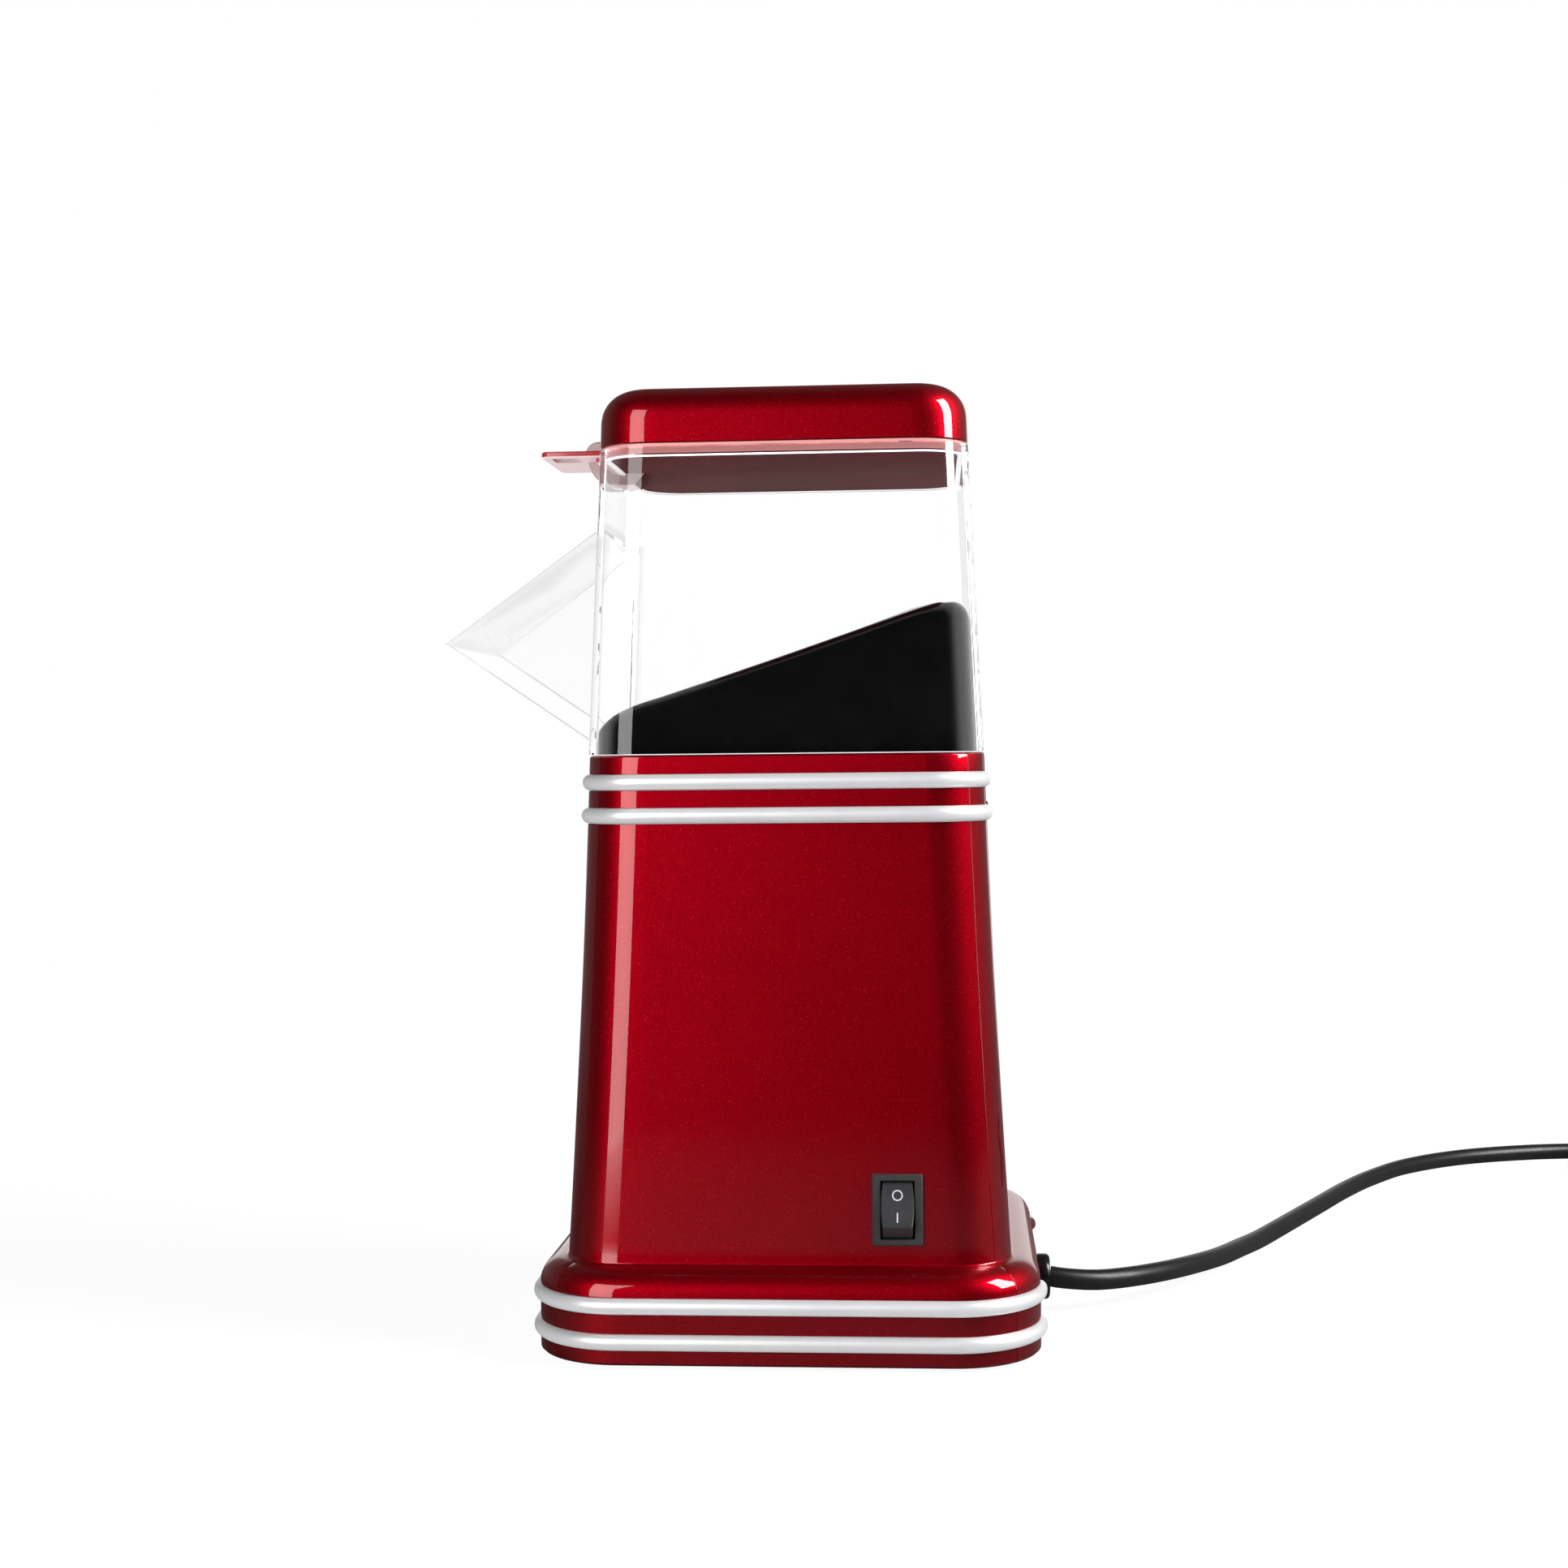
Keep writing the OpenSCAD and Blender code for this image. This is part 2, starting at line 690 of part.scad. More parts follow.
module impeller() {
    hub_top = disc_z + disc_t;
    color([0.2, 0.2, 0.22]) on_axis() difference() {
        union() {
            post(disc_r, disc_z, disc_t);
            post(6, hub_foot, hub_top - hub_foot);
            around([for (k = [0:blade_count - 1]) 360 * k / blade_count], blade_in_r)
                rotate(35) translate([0, -blade_t / 2, blade_z])
                    cube([19.5, blade_t, disc_z - blade_z + eps]);
        }
        post(fit_bore_r, hub_foot - 1, 30);
    }
}

module impeller_clip() {
    color(trim_silver) on_axis() tube(4, fit_bore_r, disc_z + disc_t, 2);
}

// ---- Switch ----
module switch_body() {
    color(dark_grey) on_axis() at_switch() difference() {
        union() {
            translate([0.05, -bezel_w / 2, -bezel_h / 2]) cube([bezel_t, bezel_w, bezel_h]);
            translate([-switch_in_d, -switch_in_w / 2, -switch_in_h / 2])
                cube([switch_in_d + 0.1, switch_in_w, switch_in_h]);
        }
        translate([bezel_t - pivot_in - 1.5, 0, 0]) rotate([90, 0, 0])
            cylinder(h = rocker_w + 0.4, r = rocker_r + rocker_gap, center = true);
    }
}

module rocker_at_rest() {
    on_axis() at_switch() translate([bezel_t - pivot_in - 1.5, 0, 0]) rotate([0, -rocker_tilt, 0]) children();
}

module switch_rocker() {
    end_x = rocker_r * cos(rocker_face_angle);
    end_z = rocker_r * sin(rocker_face_angle);
    color(gloss_black) rocker_at_rest() difference() {
        rotate([90, 0, 0]) cylinder(h = rocker_w, r = rocker_r, center = true);
        rotate([90, 0, 0]) linear_extrude(rocker_w + 2, center = true) polygon([
            [end_x, end_z], [end_x - rocker_dish, 0], [end_x, -end_z], [20, -end_z], [20, end_z]]);
        translate([-10 - 3.2, 0, 0]) cube([20, 20, 30], center = true);
    }
}

module switch_terminals() {
    color(copper) on_axis() at_switch() for (z = [-terminal_h, terminal_h])
        translate([-switch_in_d - 3.5, 0, z]) cube([7, 4.8, 0.8], center = true);
}

// ---- Strain relief, inner wires and cord ----
module strain_relief() {
    color(gloss_black) on_axis() translate([0, base_hy, relief_z]) rotate([-90, 0, 0]) {
        cylinder(h = relief_flange_t, r = relief_flange_r);
        translate([0, 0, -wall]) cylinder(h = wall + eps, r = relief_neck_r);
        translate([0, 0, -wall - relief_inside]) cylinder(h = relief_inside + eps, r1 = 4, r2 = 5.8);
    }
}

relief_end = base_hy - wall - relief_inside;
terminal_at = [body_half(switch_z) - slim / 2 - switch_in_d - 4, switch_y, switch_z];

module wire(route) {
    on_axis() sweep(refined(route), wire_r, 8);
}

module live_wire() {
    color([0.4, 0.2, 0.1]) wire([
        [2, relief_end - 0.2, relief_z], [4, relief_end - 8, relief_z], [18, 37, 12], [34, 34, 20],
        [terminal_at[0] - 7, switch_y, switch_z - 12], [terminal_at[0] - 3, switch_y, switch_z - 7.2]]);
}

module switched_wire() {
    color([0.6, 0.1, 0.1]) wire([
        [terminal_at[0] - 3, switch_y, switch_z + 6.8], [terminal_at[0] - 5, switch_y + 3, switch_z + 18],
        [42, 42, 80], [40, 43, 100], [30, 50, 118], [14, 54, 128], [4, 54.5, 134]]);
}

module neutral_wire() {
    color([0.1, 0.2, 0.5]) wire([
        [-2, relief_end - 0.2, relief_z], [-4, relief_end - 8, relief_z], [-9, 28, 14], [-8, 16, 19],
        [-7, 11, 24]]);
}

module power_cord() {
    color(gloss_black) sweep(refined(cord_route), cord_d / 2, 10);
}

module cord_coil() {
    color(gloss_black) translate([coil_centre[0], coil_centre[1], 0]) rotate_extrude()
        translate([coil_out_r - coil_turn_gap - cord_d / 2, 0])
            square([coil_turn_gap + cord_d, coil_layers * cord_d]);
}

module cord_tie() {
    mid = coil_out_r - coil_turn_gap / 2;
    half_w = (coil_turn_gap + cord_d) / 2 + 0.3;
    high = coil_layers * cord_d;
    color(dark_grey) translate([coil_centre[0] + mid, coil_centre[1], 0]) difference() {
        translate([-half_w - 1.2, -4, 0]) cube([2 * half_w + 2.4, 8, high + 1.2]);
        translate([-half_w - 0.1, -5, -1]) cube([2 * half_w + 0.2, 10, high + 1.1]);
    }
}

// ---- Plug: a slim two-pin mains plug lying on the coil ----
module plug_body() {
    color(gloss_black) translate(plug_at) {
        rotate([0, 90, 0]) linear_extrude(plug_l, center = true) plan(6.8, 17, 6.7);
        translate([eps - plug_l / 2, 0, 0]) rotate([0, -90, 0]) cylinder(h = plug_l, r1 = 6.5, r2 = 4.2);
    }
}

module plug_pins() {
    color(bare_metal) translate(plug_at) for (y = [-9.5, 9.5])
        translate([plug_l / 2, y, 0]) rotate([0, 90, 0]) {
            cylinder(h = plug_l, r = 2.4);
            translate([0, 0, plug_l - eps]) cylinder(h = 1, r1 = 2.4, r2 = 1.6);
        }
}

// ---- Hood, chute, measuring cup and lid ----
module hood_shell(inset) {
    top = hood_top + (inset > 0 ? 1 : 0);
    foot = body_h + (inset > 0 ? -1 : 0.2);
    loft([for (z = [foot, top]) let (h = hood_half(z) - inset)
        [z, h - slim / 2, h, body_r - 2 - inset]]);
}

module hood() {
    color(clear_grey) on_axis() difference() {
        hood_shell(0);
        hood_shell(clear_t);
        translate([-chute_w / 2 - 0.3, -80, chute_foot])
            cube([chute_w + 0.6, 40, chute_top - chute_foot + 0.3]);
        translate([-nose_w / 2 - 0.8, -80, hood_top - nose_d - 1]) cube([nose_w + 1.6, 40, 20]);
    }
}

// The chute in side view: its outside, and its inside a wall's thickness in
module chute_side(t) {
    top_y = -hood_half(chute_top);
    foot_y = -hood_half(chute_foot);
    far = t > 0 ? 20 : 0;
    fall = (chute_top - chute_lip_z) / (chute_reach + top_y);
    drop = t * sqrt(1 + fall * fall);
    rotate([90, 0, 90]) linear_extrude(chute_w - 2 * t, center = true) polygon([
        [top_y + 2.8 + far, chute_top - drop + fall * far], [top_y, chute_top - drop],
        [-chute_reach - far, chute_lip_z - drop - fall * far], [-chute_reach - far, chute_foot - far],
        [foot_y + 2.8 + far, chute_foot - far]]);
}

module chute() {
    over = 2.2;
    color(clear_grey) on_axis() {
        difference() {
            chute_side(0);
            chute_side(clear_t - 0.3);
            // the open underside runs from the lip back to the foot
            translate([0, -chute_reach, chute_lip_z]) rotate([-underside, 0, 0])
                translate([-60, -30, -80]) cube([120, 120, 80]);
        }
        translate([0, -hood_half(body_h) + clear_t + 0.3, body_h]) rotate([-hood_lean, 0, 0]) difference() {
            translate([-chute_w / 2 - over, 0, 3.2])
                cube([chute_w + 2 * over, 1.2, chute_top - body_h + over - 3.2]);
            translate([-chute_w / 2 + 1.7, -1, chute_foot - body_h + 1])
                cube([chute_w - 3.4, 4, chute_top - chute_foot - 3]);
        }
    }
}

// The cup's nose in side view: an apron under the hood's rim and a domed guard in front of the lid
module nose_side() {
    rotate([90, 0, 90]) linear_extrude(nose_w, center = true) polygon(concat(
        [[-46, hood_top - cup_floor_d + 0.4], [-50, hood_top - nose_d], [-56, hood_top - nose_d]],
        [[-60.6, hood_top - 5.2], [-63.4, hood_top - 3.2], [-65, hood_top]],
        arc(-62.3, hood_top + 4.1, 4.2, 180, 0, 10),
        [[-58.1, hood_top + 0.7], [-46, hood_top + 0.7]]));
}

module measuring_cup() {
    lip_z = hood_top + 0.1;
    lip_t = 0.7;
    ring_hy = hood_half(hood_top) - clear_t - 0.35;
    ring_hx = ring_hy - slim / 2;
    ring_r = lid_r - 1.8;
    floor_z = hood_top - cup_floor_d;
    foot_r = 1.6;
    wall_in = 0.6;
    wall_top = hood_top + 8.4;
    t = 1.6;
    handle_z = hood_top + 1.6;
    handle_root = 58;
    riser = 3.4;
    color(metallic_red) on_axis() difference() {
        union() {
            plate(ring_hx + 1.9, ring_hy + 1.9, ring_r + 2, lip_z, lip_t);
            // the floor's rounded foot and the ring inside the hood's rim
            loft(concat(
                [for (a = [90:-30:0]) let (i = foot_r * (1 - cos(a)))
                    [floor_z + foot_r * (1 - sin(a)), ring_hx - i, ring_hy - i, ring_r - i]],
                [[lip_z + eps, ring_hx, ring_hy, ring_r]]));
            // the wall that stands up inside the lid
            plate(ring_hx - wall_in, ring_hy - wall_in, ring_r - wall_in, lip_z, wall_top - lip_z);
            intersection() {
                nose_side();
                translate([0, -42, hood_top - 20]) linear_extrude(40) plan(nose_w / 2, 24.6, 3);
            }
            // the handle, its riser in front of the lid and the tongue that joins it to the lip
            translate([0, -(handle_reach + handle_root) / 2, handle_z]) linear_extrude(1.9)
                plan(handle_w / 2, (handle_reach - handle_root) / 2, 3);
            translate([0, -handle_root - riser / 2, 0])
                plate(handle_w / 2 - 3, riser / 2, 1, lip_z, handle_z - lip_z + 1);
            translate([0, -handle_root, 0]) plate(handle_w / 2 - 3, riser, 1, lip_z, lip_t);
        }
        plate(ring_hx - wall_in - t, ring_hy - wall_in - t, ring_r - wall_in - t, floor_z + t, 30);
        translate([6.5, -75.7, handle_z - 1]) cube([9.8, 8.7, 4]);
    }
}

module lid() {
    z0 = hood_top + 0.9;
    hy = hood_half(hood_top);
    top = z0 + lid_h;
    side_top = top - lid_edge_r;
    color(metallic_red) on_axis() difference() {
        loft(concat(
            [[z0, hy - slim / 2, hy, lid_r], [side_top - 1, hy - 0.3 - slim / 2, hy - 0.3, lid_r - 0.3]],
            [for (a = [10:16:90]) let (i = 0.3 + lid_edge_r * (1 - cos(a)))
                [side_top + lid_edge_r * sin(a), hy - i - slim / 2, hy - i, lid_r - i]]));
        loft(concat(
            [[z0 - 1, hy - 2 - slim / 2, hy - 2, lid_r - 2]],
            [for (a = [0:18:72]) let (i = 2.3 + (lid_edge_r - 2) * (1 - cos(a)))
                [side_top + (lid_edge_r - 2) * sin(a), hy - i - slim / 2, hy - i, lid_r - i]]));
    }
}

housing();
band_base_lower();
band_base_upper();
band_collar_lower();
band_collar_upper();
base_plate();
rubber_feet();
base_screws();
popcorn_guide();
popping_chamber();
chamber_gasket();
chamber_screws();
air_duct();
duct_screws();
mica_frame();
heater_coil();
thermostat();
thermal_fuse();
fan_housing();
motor_can();
motor_end_cap();
motor_magnets();
motor_screws();
upper_bush();
lower_bush();
motor_brushes();
motor_terminals();
rectifier_board();
rectifier_diodes();
switch_body();
switch_terminals();
switch_rocker();
motor_shaft();
armature_core();
armature_windings();
commutator();
impeller();
impeller_clip();
strain_relief();
live_wire();
switched_wire();
neutral_wire();
hood();
chute();
measuring_cup();
lid();
power_cord();
cord_coil();
cord_tie();
plug_body();
plug_pins();
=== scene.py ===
"""Looks for the hot-air popcorn maker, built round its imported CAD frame. Metres, +Z up, front to -Y."""

import math

import bmesh
import bpy
import numpy as np
from mathutils import Matrix, Vector

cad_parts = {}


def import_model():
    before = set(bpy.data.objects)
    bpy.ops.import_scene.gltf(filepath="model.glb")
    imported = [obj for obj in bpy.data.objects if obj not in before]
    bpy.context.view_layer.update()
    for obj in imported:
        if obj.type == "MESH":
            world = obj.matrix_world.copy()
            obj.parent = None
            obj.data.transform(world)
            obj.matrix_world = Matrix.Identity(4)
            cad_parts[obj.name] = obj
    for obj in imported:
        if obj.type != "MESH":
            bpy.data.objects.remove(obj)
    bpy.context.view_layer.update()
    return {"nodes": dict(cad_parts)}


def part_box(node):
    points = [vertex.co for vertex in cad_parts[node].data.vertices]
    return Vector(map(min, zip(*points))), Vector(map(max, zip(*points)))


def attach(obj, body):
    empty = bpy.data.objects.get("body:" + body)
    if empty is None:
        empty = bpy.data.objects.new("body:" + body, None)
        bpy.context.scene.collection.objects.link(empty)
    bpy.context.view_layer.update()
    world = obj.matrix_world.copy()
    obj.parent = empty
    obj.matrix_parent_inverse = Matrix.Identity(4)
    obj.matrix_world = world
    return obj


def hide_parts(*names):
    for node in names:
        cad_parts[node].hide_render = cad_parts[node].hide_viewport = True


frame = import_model()
SCENE = bpy.context.scene
NODES = frame["nodes"]
MM = 0.001

# Sizes below are in millimetres about the body's own axis, with z = 0 at the housing's lower rim
HOUSE_LO, HOUSE_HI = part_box("housing")
ORIGIN = np.array([0.0, (HOUSE_LO.y + HOUSE_HI.y) / 2, HOUSE_LO.z])
BASE_HX = (HOUSE_HI.x - HOUSE_LO.x) / 2 / MM
BASE_HY = (HOUSE_HI.y - HOUSE_LO.y) / 2 / MM
BODY_H = (HOUSE_HI.z - HOUSE_LO.z) / MM
SLIM = BASE_HY - BASE_HX
BODY_HY = 67.3
COLLAR_HY = 60.4
BASE_R = 26.3
BODY_R = BASE_R - (BASE_HY - BODY_HY)
WALL_H = 20.0
SHOULDER_TOP = 27.8
WAIST = 0.5
WALL = 2.5
DECK_UNDER = BODY_H - 4.0
BAND_R = 2.45
BAND_Z = {"band_base_lower": 6.9, "band_base_upper": 17.5,
          "band_collar_lower": 161.2, "band_collar_upper": 171.3}
BAND_STUB = 1.5
GROOVE_D = 1.2
GROOVE_HALF = BAND_R + 0.07
THROAT_R = 40.0
HOOD_TOP = 272.5
HOOD_TOP_HY = 56.45
CLEAR_T = 2.0
CHUTE_HX = 40.0
CHUTE_FOOT = 183.5
CHUTE_TOP = 248.5
CHUTE_REACH = 105.5
CHUTE_LIP = 214.5
NOSE_HX = 7.0
NOSE_D = 6.2
CUP_FLOOR = HOOD_TOP - 2.2
RELIEF_FLANGE = 4.6
SWITCH_Y = 33.5
SWITCH_Z = 44.6
RELIEF_Z = 10.3
CORD_R = 3.3
QUARTERS = ((1, 1), (-1, 1), (-1, -1), (1, -1))


def body_hy(z):
    """Half the length of the body's outline at height z."""
    t = (z - SHOULDER_TOP) / (BODY_H - SHOULDER_TOP)
    return BODY_HY + (COLLAR_HY - BODY_HY) * t - WAIST * 4 * t * (1 - t)


def hood_hy(z):
    """Half the length of the hood's outside at height z."""
    return COLLAR_HY + (HOOD_TOP_HY - COLLAR_HY) * (z - BODY_H) / (HOOD_TOP - BODY_H)


def world(points):
    """Points in millimetres about the body's axis, as metres in the row frame."""
    return np.asarray(points, float) * MM + ORIGIN


def polar(degrees):
    """An angle's cosine and sine."""
    return math.cos(math.radians(degrees)), math.sin(math.radians(degrees))


# ---- Camera, at the photograph's viewing angle ----
CAMERA_AT = (726.6, 50.2, 179.6)
CAMERA_YAW, CAMERA_PITCH, CAMERA_ROLL = 0.0740, -0.0136, -0.0099
camera_data = bpy.data.cameras.new("view_camera")
camera_data.lens = 51.6
camera_data.sensor_width = 36.0
camera_data.clip_start, camera_data.clip_end = 0.01, 20.0
camera = bpy.data.objects.new("view_camera", camera_data)
SCENE.collection.objects.link(camera)
turn = (
    Matrix.Rotation(math.pi / 2 + CAMERA_YAW, 4, "Z")
    @ Matrix.Rotation(math.pi / 2 + CAMERA_PITCH, 4, "X")
    @ Matrix.Rotation(CAMERA_ROLL, 4, "Z")
)
camera.matrix_world = Matrix.Translation(world(CAMERA_AT)) @ turn
SCENE.camera = camera
SCENE.view_settings.view_transform = "Standard"


# ---- Materials ----
class Tree:
    """A node tree, with short calls to add nodes to it."""

    def __init__(self, owner):
        owner.use_nodes = True
        self.tree = owner.node_tree

    def link(self, value, socket):
        """Runs another node's output, or sets a plain value, into a socket."""
        if isinstance(value, bpy.types.NodeSocket):
            self.tree.links.new(value, socket)
        else:
            socket.default_value = value

    def node(self, kind, inputs=(), **settings):
        n = self.tree.nodes.new(kind)
        for k, v in settings.items():
            setattr(n, k, v)
        for k, v in dict(inputs).items():
            self.link(v, n.inputs[k])
        return n

    def maths(self, operation, a, b):
        return self.node("ShaderNodeMath", {0: a, 1: b}, operation=operation).outputs[0]

    def ranged(self, value, low, high, start=0.3, end=0.7, blend="LINEAR"):
        inputs = {"Value": value, "From Min": start, "From Max": end, "To Min": low, "To Max": high}
        return self.node("ShaderNodeMapRange", inputs, interpolation_type=blend).outputs[0]


class Finish(Tree):
    """A material, with what its Principled shader starts from."""

    def __init__(self, name, **values):
        self.material = bpy.data.materials.new(name)
        super().__init__(self.material)
        self.shader = self.tree.nodes["Principled BSDF"]
        self.place = self.node("ShaderNodeTexCoord").outputs["Object"]
        self.feed(**values)

    def feed(self, **sockets):
        for socket, value in sockets.items():
            self.link(value, self.shader.inputs[socket.replace("_", " ")])

    def vector(self, operation, inputs, output=0):
        return self.node("ShaderNodeVectorMath", inputs, operation=operation).outputs[output]

    def stretched(self, scale):
        return self.node("ShaderNodeMapping", {"Vector": self.place, "Scale": scale}).outputs[0]

    def noise(self, scale, detail=3.0, rough=0.55, where=None):
        inputs = {"Vector": where or self.place, "Scale": scale, "Detail": detail, "Roughness": rough}
        return self.node("ShaderNodeTexNoise", inputs).outputs["Fac"]

    def mixed(self, factor, a, b):
        return self.node("ShaderNodeMix", {"Factor": factor, 6: a, 7: b}, data_type="RGBA").outputs[2]

    def bumped(self, height, distance, strength=1.0):
        inputs = {"Height": height, "Distance": distance, "Strength": strength}
        return self.node("ShaderNodeBump", inputs).outputs[0]


def rgb(r, g, b):
    """A colour given in 0 to 255 as the eye sees it, as linear light."""
    linear = [((c / 255 + 0.055) / 1.055) ** 2.4 if c > 10 else c / 255 / 12.92 for c in (r, g, b)]
    return (*linear, 1.0)


def shade(colour, k):
    return tuple(min(1.0, c * k) for c in colour[:3]) + (1.0,)


def plain(name, colour, metal=0.0, rough=0.45, vary=0.12, scale=90.0, grain=900.0, depth=0.03, coat=0.0,
          stretch=None, painted_glow=0.0):
    """A moulded or machined finish: mottled colour, uneven gloss and a fine grain, depth mm deep. A glow
    makes the face emit its own colour: painted light on a part that is no lamp.
    """
    t = Finish(name, Metallic=metal, Coat_Weight=coat, Coat_Roughness=0.08, Emission_Color=colour,
               Emission_Strength=painted_glow)
    where = t.stretched(stretch) if stretch else t.place
    cloud = t.noise(scale, 4.0, 0.6, where)
    fine = t.noise(grain, 2.0, 0.5, where)
    t.feed(
        Base_Color=t.mixed(t.ranged(cloud, 0, 1), shade(colour, 1 - vary), shade(colour, 1 + vary)),
        Roughness=t.ranged(fine, rough - 0.06, rough + 0.08),
        Normal=t.bumped(fine, depth * MM),
    )
    return t.material


def metallic_paint(name, colour, bright):
    """Metallic lacquer: fine flakes that catch the light in a red base, under a smooth clear coat."""
    t = Finish(name, Metallic=1.0, Coat_Weight=1.0, Coat_Roughness=0.03, Coat_IOR=1.5)
    flake = t.node("ShaderNodeTexVoronoi", {"Vector": t.place, "Scale": 5200.0}).outputs["Color"]
    spark = t.node("ShaderNodeSeparateColor", {"Color": flake}).outputs["Red"]
    cloud = t.noise(14.0, 3.0)
    base = t.mixed(t.ranged(cloud, 0, 1), shade(colour, 0.95), shade(colour, 1.05))
    lean = t.vector("SUBTRACT", {0: flake, 1: (0.5, 0.5, 0.5)})
    slight = t.vector("SCALE", {0: lean, "Scale": 0.10})
    straight = t.node("ShaderNodeNewGeometry").outputs["Normal"]
    tilted = t.vector("NORMALIZE", {0: t.vector("ADD", {0: straight, 1: slight})})
    peel = t.noise(420.0, 2.0)
    t.feed(
        Base_Color=t.mixed(t.ranged(spark, 0, 1, 0.975, 1.0), base, bright),
        Roughness=t.ranged(spark, 0.42, 0.50, 0, 1),
        Normal=tilted,
        Coat_Normal=t.bumped(peel, 0.006 * MM, 0.4),
    )
    return t.material


def clear_plastic(name, tint):
    """Clear styrene: smooth, with the faint waviness of a moulding."""
    t = Finish(name, Transmission_Weight=1.0, IOR=1.03, Base_Color=tint, Coat_Weight=1.0,
               Coat_Roughness=0.02, Coat_IOR=1.6)
    wave = t.noise(24.0, 2.0)
    haze = t.noise(130.0, 3.0)
    t.feed(Roughness=t.ranged(haze, 0.0, 0.03, 0.35, 0.85), Coat_Normal=t.bumped(wave, 0.004 * MM, 0.3))
    return t.material


def clear_sheet(name, tint, low, high):
    """Thin clear styrene sheet: nearly see-through face on, and less so at a slant."""
    t = Finish(name, Base_Color=tint, Coat_Weight=1.0, Coat_Roughness=0.02)
    slant = t.node("ShaderNodeLayerWeight", {"Blend": 0.22}).outputs["Fresnel"]
    haze = t.noise(130.0, 3.0)
    wave = t.noise(24.0, 2.0)
    t.feed(Alpha=t.ranged(slant, low, high, 0.05, 0.9), Roughness=t.ranged(haze, 0.05, 0.12, 0.35, 0.85),
           Normal=t.bumped(wave, 0.02 * MM, 0.3))
    return t.material


RED = metallic_paint("metallic_red", (0.34, 0.0002, 0.007, 1.0), (0.85, 0.02, 0.03, 1.0))
CLEAR = clear_plastic("clear_styrene", (0.992, 0.994, 0.997, 1.0))
CLEAR_CHUTE = clear_sheet("clear_chute_styrene", (0.22, 0.22, 0.23, 1.0), 0.028, 0.20)
# a darker, less clear sheet: painted grey line along the chute's clear edges
CHUTE_EDGE_LINE = clear_sheet("clear_chute_painted_edge_line", (0.16, 0.16, 0.18, 1.0), 0.36, 0.42)
TRIM = plain("satin_silver", (0.90, 0.905, 0.92, 1.0), metal=0.45, rough=0.38, vary=0.03, scale=60,
             grain=2600, depth=0.006)
BLACK_GLOSS = plain("gloss_black_moulding", (0.006, 0.0065, 0.007, 1.0), rough=0.17, vary=0.2, scale=25,
                    grain=120, depth=0.012, coat=0.4)
DARK_PLASTIC = plain("dark_base_plastic", rgb(34, 35, 37), rough=0.55, grain=1400, depth=0.05)
SWITCH_GREY = plain("switch_bezel_plastic", rgb(48, 47, 47), rough=0.52, vary=0.16, scale=700, grain=2600,
                    depth=0.05)
ROCKER_GREY = plain("rocker_plastic", rgb(46, 45, 49), rough=0.42, vary=0.14, scale=700, grain=3000,
                    depth=0.035)
MARK_WHITE = plain("printed_mark", rgb(214, 220, 236), rough=0.5, vary=0.03, scale=900, grain=3000,
                   depth=0.01)
RUBBER = plain("rubber", rgb(24, 24, 25), rough=0.62, grain=1200, depth=0.04)
CORD_RUBBER = plain("cord_rubber", rgb(22, 22, 24), rough=0.38, vary=0.2, scale=160, grain=1500, depth=0.03)
BLACK_PLASTIC = plain("relief_plastic", rgb(13, 13, 14), rough=0.24, grain=700, depth=0.02)
CUP_RED = plain("cup_red", (0.50, 0.035, 0.035, 1.0), rough=0.30, vary=0.1, scale=40, grain=1500,
                depth=0.012, coat=0.5)
# a pinker copy of the cup's red that glows: painted light coming through the thin ring
CUP_RIM_GLOW = plain("cup_rim_painted_glow", (0.76, 0.33, 0.32, 1.0), rough=0.32, vary=0.06, scale=120, grain=1500,
                depth=0.012, painted_glow=0.26)
# a darker, duller copy of the cup's red: painted shade on the downward-facing floor underside
CUP_FLOOR_SHADE = plain("cup_floor_painted_shade", (0.14, 0.003, 0.004, 1.0), rough=0.9, vary=0.12, scale=60,
                      grain=900, depth=0.02)
# a pale, glowing copy of the cup's red: painted reflection on the handle's underside and painted light on
# the floor's front
CUP_PAINTED_LIGHT = plain("cup_painted_pale_light", (0.82, 0.62, 0.64, 1.0), rough=0.4, vary=0.05, scale=120, grain=1500,
                 depth=0.01, painted_glow=0.28)
# a pale, glowing pink-grey: painted light coming through the thin nose
NOSE_PAINTED_LIGHT = plain("nose_painted_pale_light", (0.52, 0.38, 0.38, 1.0), rough=0.3, vary=0.14, scale=160, grain=1500,
                  depth=0.01, coat=0.5, painted_glow=0.18)
# a white finish that glows: painted highlight along the hood's inner ledge
LEDGE_HIGHLIGHT = plain("ledge_painted_highlight", (0.93, 0.93, 0.94, 1.0), rough=0.35, vary=0.03, scale=200, grain=1500,
              depth=0.01, painted_glow=0.6)
STEEL = plain("bright_steel", (0.60, 0.60, 0.61, 1.0), metal=1.0, rough=0.28, vary=0.06, grain=1600,
              depth=0.008)
SPUN = plain("spun_aluminium", (0.74, 0.74, 0.75, 1.0), metal=1.0, rough=0.30, vary=0.08, scale=30,
             grain=70, depth=0.05, stretch=(1, 1, 26))
PHENOLIC = plain("phenolic", rgb(46, 36, 30), rough=0.5, vary=0.25, scale=260, grain=1100, depth=0.03)
MICA = plain("mica_sheet", rgb(176, 158, 128), rough=0.3, vary=0.3, scale=420, grain=900, depth=0.05)
CERAMIC = plain("ceramic", rgb(214, 208, 194), rough=0.4, vary=0.06, grain=900, depth=0.03)
MAGNET = plain("ferrite", rgb(52, 52, 54), rough=0.62, vary=0.2, grain=1500, depth=0.05)
BRONZE = plain("sintered_bronze", (0.52, 0.33, 0.15, 1.0), metal=1.0, rough=0.46, vary=0.2, scale=900,
               grain=2400, depth=0.05)
